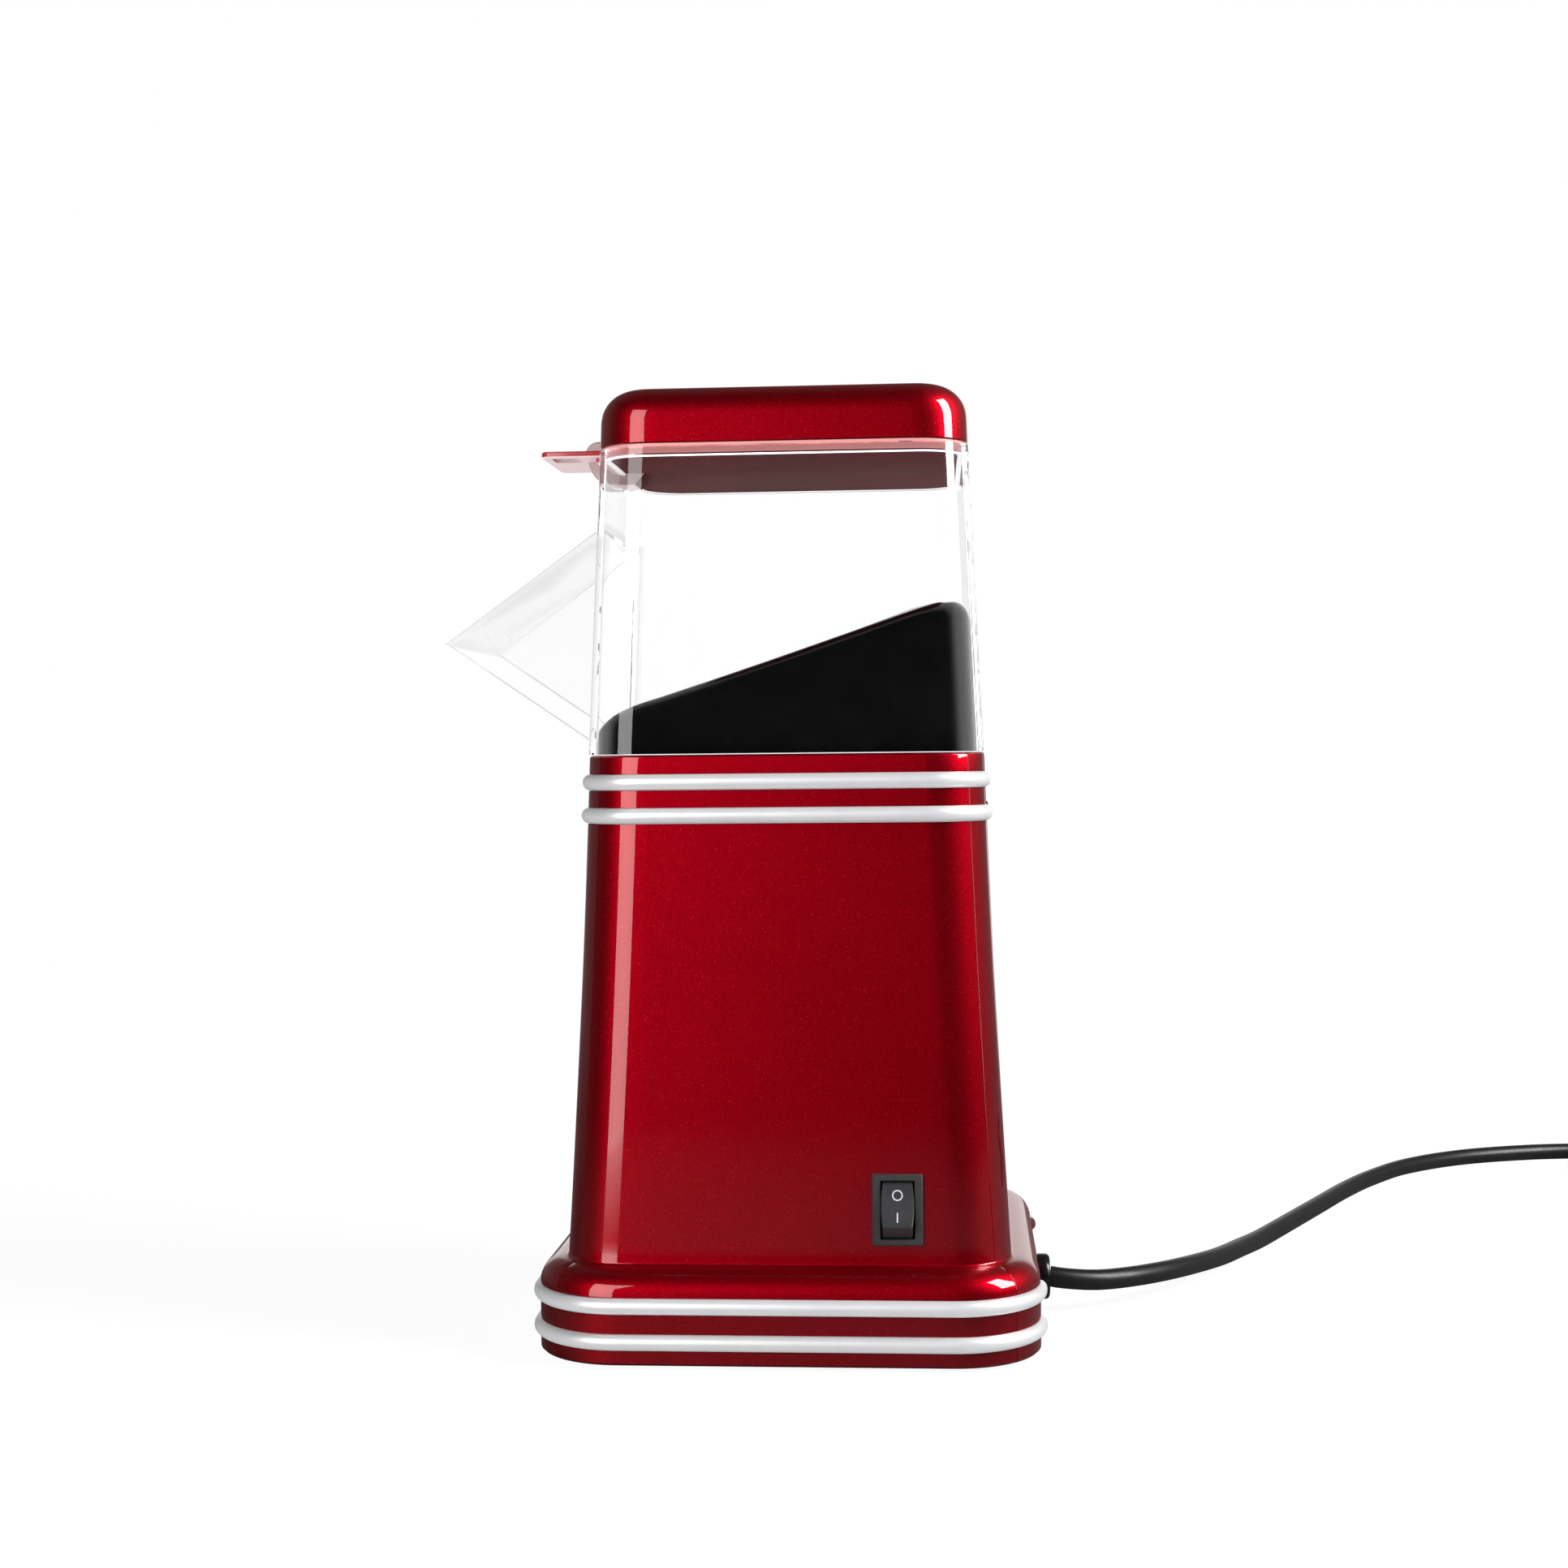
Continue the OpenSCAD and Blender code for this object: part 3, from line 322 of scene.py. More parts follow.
COPPER = plain("copper", (0.80, 0.36, 0.20, 1.0), metal=1.0, rough=0.26, vary=0.12, scale=300, grain=1800,
               depth=0.02)
ENAMEL_WIRE = plain("enamelled_wire", (0.62, 0.20, 0.09, 1.0), metal=0.8, rough=0.3, vary=0.35, scale=40,
                    grain=260, depth=0.35, stretch=(1, 1, 12))
HOT_WIRE = plain("resistance_wire", (0.42, 0.40, 0.37, 1.0), metal=1.0, rough=0.42, vary=0.3, scale=400,
                 grain=1500, depth=0.02)
BOARD = plain("board_laminate", rgb(30, 84, 50), rough=0.36, vary=0.15, scale=500, grain=1400, depth=0.02)
COMPONENT = plain("component_epoxy", rgb(22, 22, 24), rough=0.5, grain=1500, depth=0.02)
GASKET = plain("fibre_gasket", rgb(176, 172, 160), rough=0.85, vary=0.2, scale=700, grain=1600, depth=0.08)
FAN_PLASTIC = plain("glass_filled_nylon", rgb(44, 45, 48), rough=0.56, vary=0.18, scale=600, grain=1500,
                    depth=0.04)
WIRE_BROWN, WIRE_RED, WIRE_BLUE = (
    plain(name, colour, rough=0.4, grain=1500, depth=0.02)
    for name, colour in (("wire_brown_pvc", rgb(96, 56, 32)), ("wire_red_pvc", rgb(150, 26, 22)),
                         ("wire_blue_pvc", rgb(28, 62, 140)))
)


# ---- Mesh making ----
def linked(name, data, materials, body, replaces):
    obj = bpy.data.objects.new(name, data)
    SCENE.collection.objects.link(obj)
    for m in materials:
        data.materials.append(m)
    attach(obj, body)
    if replaces:
        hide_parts(*replaces)
    return obj


def piece(name, points, faces, materials, slot, body="base", replaces=(), sharp=32.0, indices=None):
    """A smooth-shaded closed mesh, its faces outwards, from points in millimetres about the body's axis."""
    mesh = bpy.data.meshes.new(name)
    mesh.from_pydata(world(points).tolist(), [], [list(map(int, f)) for f in faces])
    if indices is not None:
        mesh.polygons.foreach_set("material_index", indices)
    mesh.validate()
    mesh.polygons.foreach_set("use_smooth", [True] * len(mesh.polygons))
    mesh.set_sharp_from_angle(angle=math.radians(sharp))
    bm = bmesh.new()
    bm.from_mesh(mesh)
    bmesh.ops.recalc_face_normals(bm, faces=bm.faces)
    bm.to_mesh(mesh)
    bm.free()
    return linked(name, mesh, materials, body, replaces)


def wires(name, runs, radius, fineness, loop=False):
    """A curve with a round wire along each run of points, which are in metres."""
    curve = bpy.data.curves.new(name, "CURVE")
    curve.dimensions = "3D"
    curve.bevel_depth = radius * MM
    curve.bevel_resolution = fineness
    curve.use_fill_caps = not loop
    for run in runs:
        spline = curve.splines.new("POLY")
        spline.points.add(len(run) - 1)
        spline.points.foreach_set("co", np.hstack([run, np.ones((len(run), 1))]).ravel())
        spline.use_cyclic_u = loop
        spline.use_smooth = True
    return curve


def bevelled(obj, width, angle):
    """Rounds a piece's edges that are sharper than angle, by width millimetres."""
    m = obj.modifiers.new("rounded", "BEVEL")
    m.width = width * MM
    m.segments = 2
    m.limit_method = "ANGLE"
    m.angle_limit = math.radians(angle)
    return obj


def fused(a, b, operation="UNION"):
    """Fuses piece b into piece a or, with DIFFERENCE, cuts it out."""
    m = a.modifiers.new("fused", "BOOLEAN")
    m.operation, m.solver, m.object = operation, "EXACT", b
    bpy.context.view_layer.update()
    mesh = bpy.data.meshes.new_from_object(a.evaluated_get(bpy.context.evaluated_depsgraph_get()))
    a.modifiers.clear()
    a.data = mesh
    bpy.data.objects.remove(b)
    return a


SEAM_HALF = 0.19
ARC_STEPS = 12


def outline(hx, hy, r, z, sides, arc=ARC_STEPS, seams=None):
    """A rounded rectangle's points at height z, counter-clockwise from the +X end of the +X +Y corner.
    sides holds the places of the points on the rear, -X, front and +X sides, and seams the depth of a fine
    mould line at the middle of each corner, where there is one."""
    turns = [90 * i / arc for i in range(arc + 1)]
    if seams is not None:
        lip = math.degrees(SEAM_HALF / r)
        turns = sorted(turns + [45 - lip, 45 + lip])
    points = []
    for q, (sx, sy) in enumerate(QUARTERS):
        for turned in turns:
            c, s = polar(90 * q + turned)
            reach = r - (seams or 0.0) if turned == 45 else r
            points.append((sx * (hx - r) + reach * c, sy * (hy - r) + reach * s, z))
        for v in sides[q]:
            points.append(((v, hy, z), (-hx, v, z), (v, -hy, z), (hx, v, z))[q])
    return np.array(points)


def rings_mesh(rings, loop=False, holes=()):
    """Points and faces of equal rings joined one after another. With loop, the last joins the first.
    A hole is (first column, last column, first ring, last ring) of one skin; its faces are left out."""
    count, n = len(rings), len(rings[0])
    skip = {(k, c) for c0, c1, k0, k1 in holes for k in range(k0, k1) for c in range(c0, c1)}
    faces = []
    for k in range(count if loop else count - 1):
        for c in range(n):
            if (k, c) not in skip:
                a, b = k * n, (k + 1) % count * n
                faces.append((a + c, a + (c + 1) % n, b + (c + 1) % n, b + c))
    return np.concatenate(rings), faces


def capped(rings):
    """Points and faces of rings joined one after another, with a flat cap at each end."""
    points, faces = rings_mesh(rings)
    n, total = len(rings[0]), len(points)
    return points, faces + [list(range(n)), list(range(total - n, total))]


def merged(meshes):
    """The points and faces of several meshes as one."""
    points, faces = np.empty((0, 3)), []
    for more, more_faces in meshes:
        faces += [[i + len(points) for i in f] for f in more_faces]
        points = np.concatenate([points, more])
    return points, faces


def closed_piece(name, rings, materials, slot, body="base", replaces=(), sharp=32.0):
    """A piece from rings, closed by a flat cap at each end."""
    return piece(name, *capped(rings), materials, slot, body, replaces, sharp)


def walls_of_hole(n, c0, c1, outer, inner, open_top=False):
    """Faces that line an opening between an outer and an inner skin, ring for ring."""
    faces = []
    for k in range(len(outer) - 1):
        a, b, p, q = outer[k] * n, outer[k + 1] * n, inner[k] * n, inner[k + 1] * n
        faces.append((a + c0, b + c0, q + c0, p + c0))
        faces.append((a + c1, p + c1, q + c1, b + c1))
    for c in range(c0, c1):
        a, p = outer[0] * n, inner[0] * n
        faces.append((a + c, p + c, p + c + 1, a + c + 1))
        if not open_top:
            a, p = outer[-1] * n, inner[-1] * n
            faces.append((a + c, a + c + 1, p + c + 1, p + c))
    return faces


def spread(a, b, count):
    return list(np.linspace(a, b, count))


def lathe(profile, at, axis, steps=48):
    """Rings of a turned solid: profile is (radius, height) pairs along axis from at."""
    axis = np.array(axis, float)
    u = np.cross(axis, (0.0, 0.0, 1.0)) if abs(axis[2]) < 0.9 else np.array([1.0, 0.0, 0.0])
    u /= np.linalg.norm(u)
    v = np.cross(axis, u)
    turns = np.linspace(0, 2 * math.pi, steps, endpoint=False)
    return [np.array([np.array(at) + axis * h + r * (math.cos(a) * u + math.sin(a) * v) for a in turns])
            for r, h in profile]


def arc_points(cx, cy, r, a0, a1, count):
    """Points in a plane along an arc, from angle a0 to a1 in degrees."""
    return [(cx + r * c, cy + r * s) for c, s in map(polar, np.linspace(a0, a1, count))]


# ---- Cord: first its route, then its coil, in millimetres of the row frame ----
ROUTE = [
    (0, 93.5, 11.5), (0, 98.5, 10.8), (-3, 109, 9.7), (-11, 122, 9.2), (-27, 137, 8.2), (-54, 153, 5.8),
    (-78, 164.5, 4.2), (-95, 172.8, 3.3), (-114, 182.5, 3.3), (-135, 193, 3.3), (-160, 205.5, 3.3),
    (-187, 219, 3.3), (-213, 234, 3.3), (-240, 254, 3.3), (-262, 282, 3.3), (-275, 315, 3.3),
    (-279, 345, 3.3), (-280, 374, 3.3),
]
COIL_AT = (-240.0, 374.0)
COIL_OUT, COIL_IN = 40.0, 33.4
LAYER_2 = 3 * CORD_R
PLUG_LO, PLUG_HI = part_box("plug_body")
PLUG_TAIL = (PLUG_LO.x / MM, (PLUG_LO.y + PLUG_HI.y) / 2 / MM, (PLUG_LO.z + PLUG_HI.z) / 2 / MM)
TAIL_ARC = 28.0
TAIL_OFF = (PLUG_TAIL[0] - COIL_AT[0], PLUG_TAIL[1] - TAIL_ARC - COIL_AT[1])
COIL_LAST = TAIL_ARC + math.hypot(*TAIL_OFF)
LEAVING = math.degrees(math.atan2(TAIL_OFF[1], TAIL_OFF[0]))
TURNED = 180 - LEAVING + 3 * 360


def eased(t, start, end):
    t = min(1.0, max(0.0, (t - start) / (end - start)))
    return t * t * (3 - 2 * t)


def coil_point(turned):
    """The coil's centreline after turning that many degrees clockwise from where the lead reaches it."""
    inward = eased(turned, 290, 345)
    outward = eased(turned, 950, 1010)
    back = eased(turned, 1030, 1100)
    r = COIL_OUT + (COIL_IN - COIL_OUT) * (inward - outward) + (COIL_LAST - COIL_OUT) * back
    z = CORD_R + (LAYER_2 - CORD_R) * eased(turned, 620, 670)
    z += (PLUG_TAIL[2] - LAYER_2) * eased(turned, 1015, TURNED + 10)
    c, s = polar(180 - turned)
    return (COIL_AT[0] + r * c, COIL_AT[1] + r * s, z)


def smooth_route(points, step):
    """A Catmull-Rom line through the points, with points about step apart."""
    p = [np.array(q, float) for q in points]
    p = [2 * p[0] - p[1]] + p + [2 * p[-1] - p[-2]]
    out = []
    for a, b, c, d in zip(p, p[1:], p[2:], p[3:]):
        for t in np.linspace(0, 1, max(2, int(np.linalg.norm(c - b) / step)), endpoint=False):
            bend = (2 * a - 5 * b + 4 * c - d) * t * t + (3 * b - a - 3 * c + d) * t**3
            out.append(0.5 * (2 * b + (c - a) * t + bend))
    return out + [p[-2]]


last_arc = [(x, y, PLUG_TAIL[2])
            for x, y in arc_points(PLUG_TAIL[0], PLUG_TAIL[1] - TAIL_ARC, TAIL_ARC, LEAVING, 90, 6)[1:]]
route = ROUTE[:-1] + [coil_point(t) for t in np.linspace(0, TURNED, 142)] + last_arc
line = np.array(smooth_route(route, 3.0)) * MM
cord_curve = wires("mains_lead", [line], CORD_R, 5)
mains_lead = linked("mains_lead", cord_curve, [CORD_RUBBER], "base",
                    ("power_cord", "cord_coil"))

# ---- Plug and tie ----
plug_mid_y, plug_mid_z = PLUG_TAIL[1], PLUG_TAIL[2]


def row_frame(points):
    """Points in millimetres of the row frame, as millimetres about the body's axis."""
    return np.asarray(points, float) - ORIGIN / MM


def plug_rings():
    """The plug's moulding: a ribbed tail that swells into a flat, softly crowned body."""
    tail, end = PLUG_LO.x / MM, PLUG_HI.x / MM
    length = end - tail
    shape = [(0.0, 3.4, 3.4), (0.0, 4.2, 4.2)]
    for k in range(5):  # ribs that let the tail bend
        x = 1.2 + 3.0 * k
        grow = 4.2 + 0.42 * k
        shape += [(x, grow, grow), (x + 1.5, grow + 0.1, grow + 0.1), (x + 1.8, grow - 0.7, grow - 0.7),
                  (x + 2.7, grow - 0.6, grow - 0.6)]
    shape += [(16.6, 6.2, 6.2), (18.4, 9.5, 6.5), (20.5, 14.2, 6.7), (23.5, 16.6, 6.8), (28.0, 17.0, 6.8),
              (length - 1.2, 16.8, 6.8), (length - 0.3, 16.3, 6.3), (length, 15.4, 5.4)]
    rings = []
    for x, half_y, half_z in shape:
        ring = []
        for a in np.linspace(0, 2 * math.pi, 40, endpoint=False):
            power = 0.55 if half_y > 8 else 1.0
            c, s = math.cos(a), math.sin(a)
            ring.append((tail + x, plug_mid_y + half_y * math.copysign(abs(c) ** power, c),
                         plug_mid_z + half_z * math.copysign(abs(s) ** power, s)))
        rings.append(row_frame(ring))
    return rings


plug = closed_piece("plug", plug_rings(), [BLACK_PLASTIC], "cord_rubber", replaces=("plug_body",), sharp=50)

TIE_LO, TIE_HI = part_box("cord_tie")


def tie_rings():
    """A soft strap wound round the coil's turns, with rounded corners."""
    mid_x, mid_y = (TIE_LO.x + TIE_HI.x) / 2 / MM, (TIE_LO.y + TIE_HI.y) / 2 / MM
    hx, hz, r = (TIE_HI.x - TIE_LO.x) / 2 / MM, TIE_HI.z / 2 / MM, 3.4
    section = ((-4, 0.1), (-3.7, 0), (3.7, 0), (4, 0.1), (4, 0.9), (3.7, 1.0), (-3.7, 1.0), (-4, 0.9))
    rings = []
    for q, (sx, sz) in enumerate(QUARTERS):
        for c, s in map(polar, np.linspace(90 * q, 90 * q + 90, 8)):
            cx, cz = mid_x + sx * (hx - r), hz + sz * (hz - r)
            ring = [(cx + (r - inset) * c, mid_y + y, cz + (r - inset) * s) for y, inset in section]
            rings.append(row_frame(ring))
    return rings


tie_points, tie_faces = rings_mesh(tie_rings(), loop=True)
cord_strap = piece("cord_strap", tie_points, tie_faces, [RUBBER], "rubber", replaces=("cord_tie",))

# a pin's radii and how far each stands out of the plug; its first part is sleeved
PIN = [(2.4, -0.5), (2.4, 10), (2.05, 10.2), (2.05, 17.6), (1.7, 18.6), (0.9, 19.0)]
PIN_STEPS = 24
pins = []
for pin_y in (plug_mid_y - 9.5, plug_mid_y + 9.5):
    rings = lathe(PIN, (PLUG_HI.x / MM, pin_y, plug_mid_z), (1, 0, 0), PIN_STEPS)
    pins.append(capped([row_frame(r) for r in rings]))
sleeved = [int(f[0] < PIN_STEPS) for _, faces in pins for f in faces]
plug_prongs = piece("plug_prongs", *merged(pins), [STEEL, BLACK_PLASTIC], "steel", replaces=("plug_pins",),
                    indices=sleeved)


# ---- Housing ----
SEAM = 0.32
ARC_POINTS = ARC_STEPS + 3
STOPS = {True: COLLAR_HY - SLIM - BODY_R - BAND_STUB - BAND_R - 0.1,
         False: BASE_HX - BASE_R - BAND_STUB - BAND_R - 0.1}
OPEN_Y = (SWITCH_Y - 6.6, SWITCH_Y + 6.6)
OPEN_Z = (SWITCH_Z - 9.6, SWITCH_Z + 9.6)
RELIEF_HALF = 4.9
REAR_RIGHT_X = [43.0, STOPS[True], STOPS[True] - 0.3, 28, RELIEF_HALF]
REAR_X = REAR_RIGHT_X + [-x for x in REAR_RIGHT_X[::-1]]
LEFT_Y = spread(40, -40, 7)
FRONT_X = spread(-38, 38, 7)
RIGHT_Y = [-40, -26, -12, 2, 16, OPEN_Y[0], OPEN_Y[1], 43]
HOUSE_SIDES = (REAR_X, LEFT_Y, FRONT_X, RIGHT_Y)


def housing_levels():
    """Rows of the housing's walls from the rim up: the outside's height, half length, corner radius and
    whether it is in a groove, and then the inside's height."""
    rows = [(0.0, BASE_HY - 0.7, BASE_R - 0.7, False, 0.0), (0.7, BASE_HY, BASE_R, False, 0.7)]
    for band in ("band_base_lower", "band_base_upper"):
        low, high = BAND_Z[band] - GROOVE_HALF, BAND_Z[band] + GROOVE_HALF
        middle = RELIEF_Z - RELIEF_HALF if band == "band_base_lower" else RELIEF_Z + RELIEF_HALF
        rows += [(low, BASE_HY, BASE_R, False, low), (low, BASE_HY, BASE_R, True, low),
                 (middle, BASE_HY, BASE_R, True, middle), (high, BASE_HY, BASE_R, True, high),
                 (high, BASE_HY, BASE_R, False, high)]
    inset = BASE_HY - BODY_HY
    rise = SHOULDER_TOP - WALL_H
    for c, s in map(polar, np.linspace(10, 78, 9)):
        z = WALL_H + 0.05 + rise * s
        i = inset * (1 - c)
        rows.append((z, BASE_HY - i, BASE_R - i, False, WALL_H + (rise - WALL) * s))
    fillet = 0.9
    for a in np.linspace(0, 90, 6)[1:]:
        c, s = polar(a)
        i = inset - fillet * (1 - s)
        z_in = SHOULDER_TOP - WALL + 0.2 * s + 1e-3 * a
        rows.append((SHOULDER_TOP + fillet * (1 - c), BASE_HY - i, BASE_R - i, False, z_in))
    for z in list(OPEN_Z) + spread(66, 152, 8):
        rows.append((z, body_hy(z), BODY_R, False, z))
    for band in ("band_collar_lower", "band_collar_upper"):
        for side, deep in ((-1, False), (-1, True), (1, True), (1, False)):
            z = side * GROOVE_HALF + BAND_Z[band]
            rows.append((z, body_hy(z), BODY_R, deep, z if z < DECK_UNDER else DECK_UNDER - 1e-3))
    top_r = 0.9
    for c, s in map(polar, (0, 30, 60, 90)):
        z = BODY_H - top_r * (1 - s)
        i = top_r * (1 - c)
        rows.append((z, body_hy(z) - i, BODY_R - i, False, DECK_UNDER))
    return rows


def housing_ring(row, inside):
    z, hy, r, deep, z_in = row
    if inside:
        hy_in = (body_hy(z_in) if z_in > SHOULDER_TOP else min(hy, BASE_HY)) - WALL
        return outline(hy_in - SLIM, hy_in, max(r - WALL, 3), z_in, HOUSE_SIDES, seams=0.0)
    ring = outline(hy - SLIM, hy, r, z, HOUSE_SIDES, seams=SEAM)
    if deep:
        cut = outline(hy - SLIM - GROOVE_D, hy - GROOVE_D, r - GROOVE_D, z, HOUSE_SIDES, seams=0.0)
        stop = STOPS[z > SHOULDER_TOP]
        rear = (ring[:, 1] > hy - 0.5) & (np.abs(ring[:, 0]) < stop - 0.15)
        ring = np.where(rear[:, None], ring, cut)
    return ring


def build_housing():
    """The body's shell with its deck, the openings for the switch and the lead, and four screw posts."""
    rows = housing_levels()
    outer = [housing_ring(r, False) for r in rows]
    inner = [housing_ring(r, True) for r in rows]
    n = len(outer[0])
    angles = np.arctan2(outer[-1][:, 1], outer[-1][:, 0])

    def throat(r, z):
        return np.stack([r * np.cos(angles), r * np.sin(angles), np.full(n, z)], axis=1)

    deck = [throat(THROAT_R + 0.3, BODY_H), throat(THROAT_R, BODY_H - 0.3), throat(THROAT_R, DECK_UNDER)]
    rings = outer + deck + inner[::-1]
    last = len(rings) - 1
    z = [r[0] for r in rows]
    k_switch = [z.index(OPEN_Z[0]), z.index(OPEN_Z[1])]
    k_relief = [next(k for k, r in enumerate(rows) if abs(r[0] - v) < 1e-6)
                for v in (RELIEF_Z - RELIEF_HALF, RELIEF_Z + RELIEF_HALF)]
    c_relief = [ARC_POINTS + REAR_X.index(RELIEF_HALF), ARC_POINTS + REAR_X.index(-RELIEF_HALF)]
    start = 4 * ARC_POINTS + len(REAR_X) + len(LEFT_Y) + len(FRONT_X)
    c_switch = [start + RIGHT_Y.index(OPEN_Y[0]), start + RIGHT_Y.index(OPEN_Y[1])]
    holes, lining = [], []
    for (c0, c1), (k0, k1) in ((c_switch, k_switch), (c_relief, k_relief)):
        holes += [(c0, c1, k0, k1), (c0, c1, last - k1, last - k0)]
        outer_rows = list(range(k0, k1 + 1))
        lining += walls_of_hole(n, c0, c1, outer_rows, [last - k for k in outer_rows])
    points, faces = rings_mesh(rings, loop=True, holes=holes)
    faces += lining
    out = 20 * math.sin(math.pi / 4)
    profile = [(1.3, 20), (1.3, 4.3), (4.5, 4.3), (4.5, 22), (0.4, 22)]
    posts = []
    for sx in (-1, 1):
        for sy in (-1, 1):
            at = (sx * (BASE_HX - BASE_R + out), sy * (BASE_HY - BASE_R + out), 0)
            posts.append(capped(lathe(profile, at, (0, 0, 1), 20)))
    points, faces = merged([(points, faces)] + posts)
    return piece("housing_shell", points, faces, [RED], "red_paint", replaces=("housing",), sharp=35)


build_housing()


# ---- Trim bands ----
def band_path(z):
    """The band's centre line and its outward directions, from behind one rear corner round to the other."""
    upper = z > SHOULDER_TOP
    hy = (body_hy(z) if upper else BASE_HY) - 0.5
    hx = hy - SLIM
    r = (BODY_R if upper else BASE_R) - 0.5
    points, sides = [(hx - r - BAND_STUB, hy)], [(0, 1)]
    for (sx, sy), a0 in zip(((1, 1), (1, -1), (-1, -1), (-1, 1)), (90, 0, -90, -180)):
        for c, s in map(polar, np.linspace(a0, a0 - 90, 17)):
            points.append((sx * (hx - r) + r * c, sy * (hy - r) + r * s))
            sides.append((c, s))
    points.append((r + BAND_STUB - hx, hy))
    sides.append((0, 1))
    return [(x, y, z) for x, y in points], [(x, y, 0) for x, y in sides]


def build_band(name, z):
    path, side = band_path(z)
    turns = np.linspace(0, 2 * math.pi, 28, endpoint=False)

    def ring(at, out, k):
        return np.array([np.array(at) + np.array(out) * max(BAND_R * k * math.cos(t), 0.5 - GROOVE_D)
                         + np.array([0, 0, BAND_R * k * math.sin(t)]) for t in turns])

    rings = [ring(p, s, 1.0) for p, s in zip(path, side)]
    for end, way in ((0, -1), (-1, 1)):
        caps = []
        for a in np.radians((25, 50, 70, 84)):
            at = np.array(path[end]) + np.array([-way * BAND_R * math.sin(a), 0, 0])
            caps.append(ring(at, side[end], math.cos(a)))
        rings = caps[::-1] + rings if end == 0 else rings + caps
    return closed_piece(name + "_trim", rings, [TRIM], "satin_silver", replaces=(name,), sharp=40)


for band_name, band_height in BAND_Z.items():
    build_band(band_name, band_height)


# ---- Popcorn guide ----
GUIDE_HY, GUIDE_R = 57.9, 14.6
GUIDE_TAPER = (COLLAR_HY - HOOD_TOP_HY) / (HOOD_TOP - BODY_H)
GUIDE_LIP, GUIDE_LIP_Y = 195.0, -45
GUIDE_SLOPE = (222.7 - GUIDE_LIP) / 88.0
GUIDE_CREST_Y = 52
GUIDE_FOOT = BODY_H + 0.3


def guide_top(y):
    """Height of the guide's sloped top at y, before its edge is rounded. It is level behind the crest."""
    y = min(y, GUIDE_CREST_Y)
    if y > GUIDE_LIP_Y:
        return GUIDE_LIP + GUIDE_SLOPE * (y - GUIDE_LIP_Y)
    at, heights = [-58, -56.4, -54.6, -52, -49, GUIDE_LIP_Y], [187.4, 188.6, 190.2, 192.0, 193.6, GUIDE_LIP]
    return float(np.interp(y, at, heights))


def edge_radius(y):
    return float(np.interp(y, [-57, -52, -40, 40, 57], [1.8, 3.2, 4.6, 4.6, 5.6]))


def build_guide():
    """The black hood round the throat, whose sloped top slides the popcorn to the chute."""
    sides = tuple(spread(a, -a, 11) for a in (40, 40, -40, -40))

    def wall_ring(shell, share):
        base = outline(GUIDE_HY - SLIM - shell, GUIDE_HY - shell, GUIDE_R - shell, 0, sides, arc=10)
        ring = []
        for x, y, _ in base:
            top = guide_top(y) - edge_radius(y) - shell * 0.4
            z = GUIDE_FOOT + (top - GUIDE_FOOT) * share
            k = 1 - GUIDE_TAPER * (z - BODY_H) / GUIDE_HY
            ring.append((x * k, y * k, z))
        return np.array(ring)

    def top_ring(a, shell):
        """The rounded edge at angle a, from the wall at 0 to the slope at 90."""
        c, s = polar(a)
        ring = []
        for x, y, z in wall_ring(shell, 1.0):
            edge = max(edge_radius(y) - shell * 0.5, 1.0)
            k = 1 - edge * (1 - c) / math.hypot(x, y) * 1.12
            ring.append((x * k, y * k, z + edge * s + (guide_top(y * k) - guide_top(y)) * 0.6))
        return np.array(ring)

    outer = [wall_ring(0, t) for t in (0, 0.35, 0.7, 1.0)] + [top_ring(a, 0) for a in (18, 36, 54, 72, 90)]
    rim = outer[-1]
    angles = np.arctan2(rim[:, 1], rim[:, 0])

    def slope_ring(r, drop, blend=1.0):
        circle = np.stack([r * np.cos(angles), r * np.sin(angles)], axis=1)
        flat = rim[:, :2] + (circle - rim[:, :2]) * blend
        z = [guide_top(y) * blend + (1 - blend) * rim_z - drop for (_, y), rim_z in zip(flat, rim[:, 2])]
        return np.column_stack([flat, z])

    slope = [slope_ring(THROAT_R + 1.2, 0.0, b) for b in (0.35, 0.7, 1.0)]
    slope += [slope_ring(THROAT_R + 0.35, 0.35), slope_ring(THROAT_R, 1.2)]

    def throat(r, share):
        xy = np.stack([r * np.cos(angles), r * np.sin(angles)], axis=1)
        return np.column_stack([xy, [GUIDE_FOOT + (guide_top(y) - 3 - GUIDE_FOOT) * share for _, y in xy]])

    skirt_r = THROAT_R + 1.6
    neck = [throat(THROAT_R, 0.5), throat(THROAT_R, 0.0), throat(skirt_r, 0.0), throat(skirt_r, 0.9)]
    inner = [top_ring(a, CLEAR_T) for a in (90, 45)] + [wall_ring(CLEAR_T, t) for t in (1.0, 0.5, 0.0)]
    points, faces = rings_mesh(outer + slope + neck + inner, loop=True)
    return piece("popcorn_slide", points, faces, [BLACK_GLOSS], "gloss_black",
                 replaces=("popcorn_guide",), sharp=38)


build_guide()


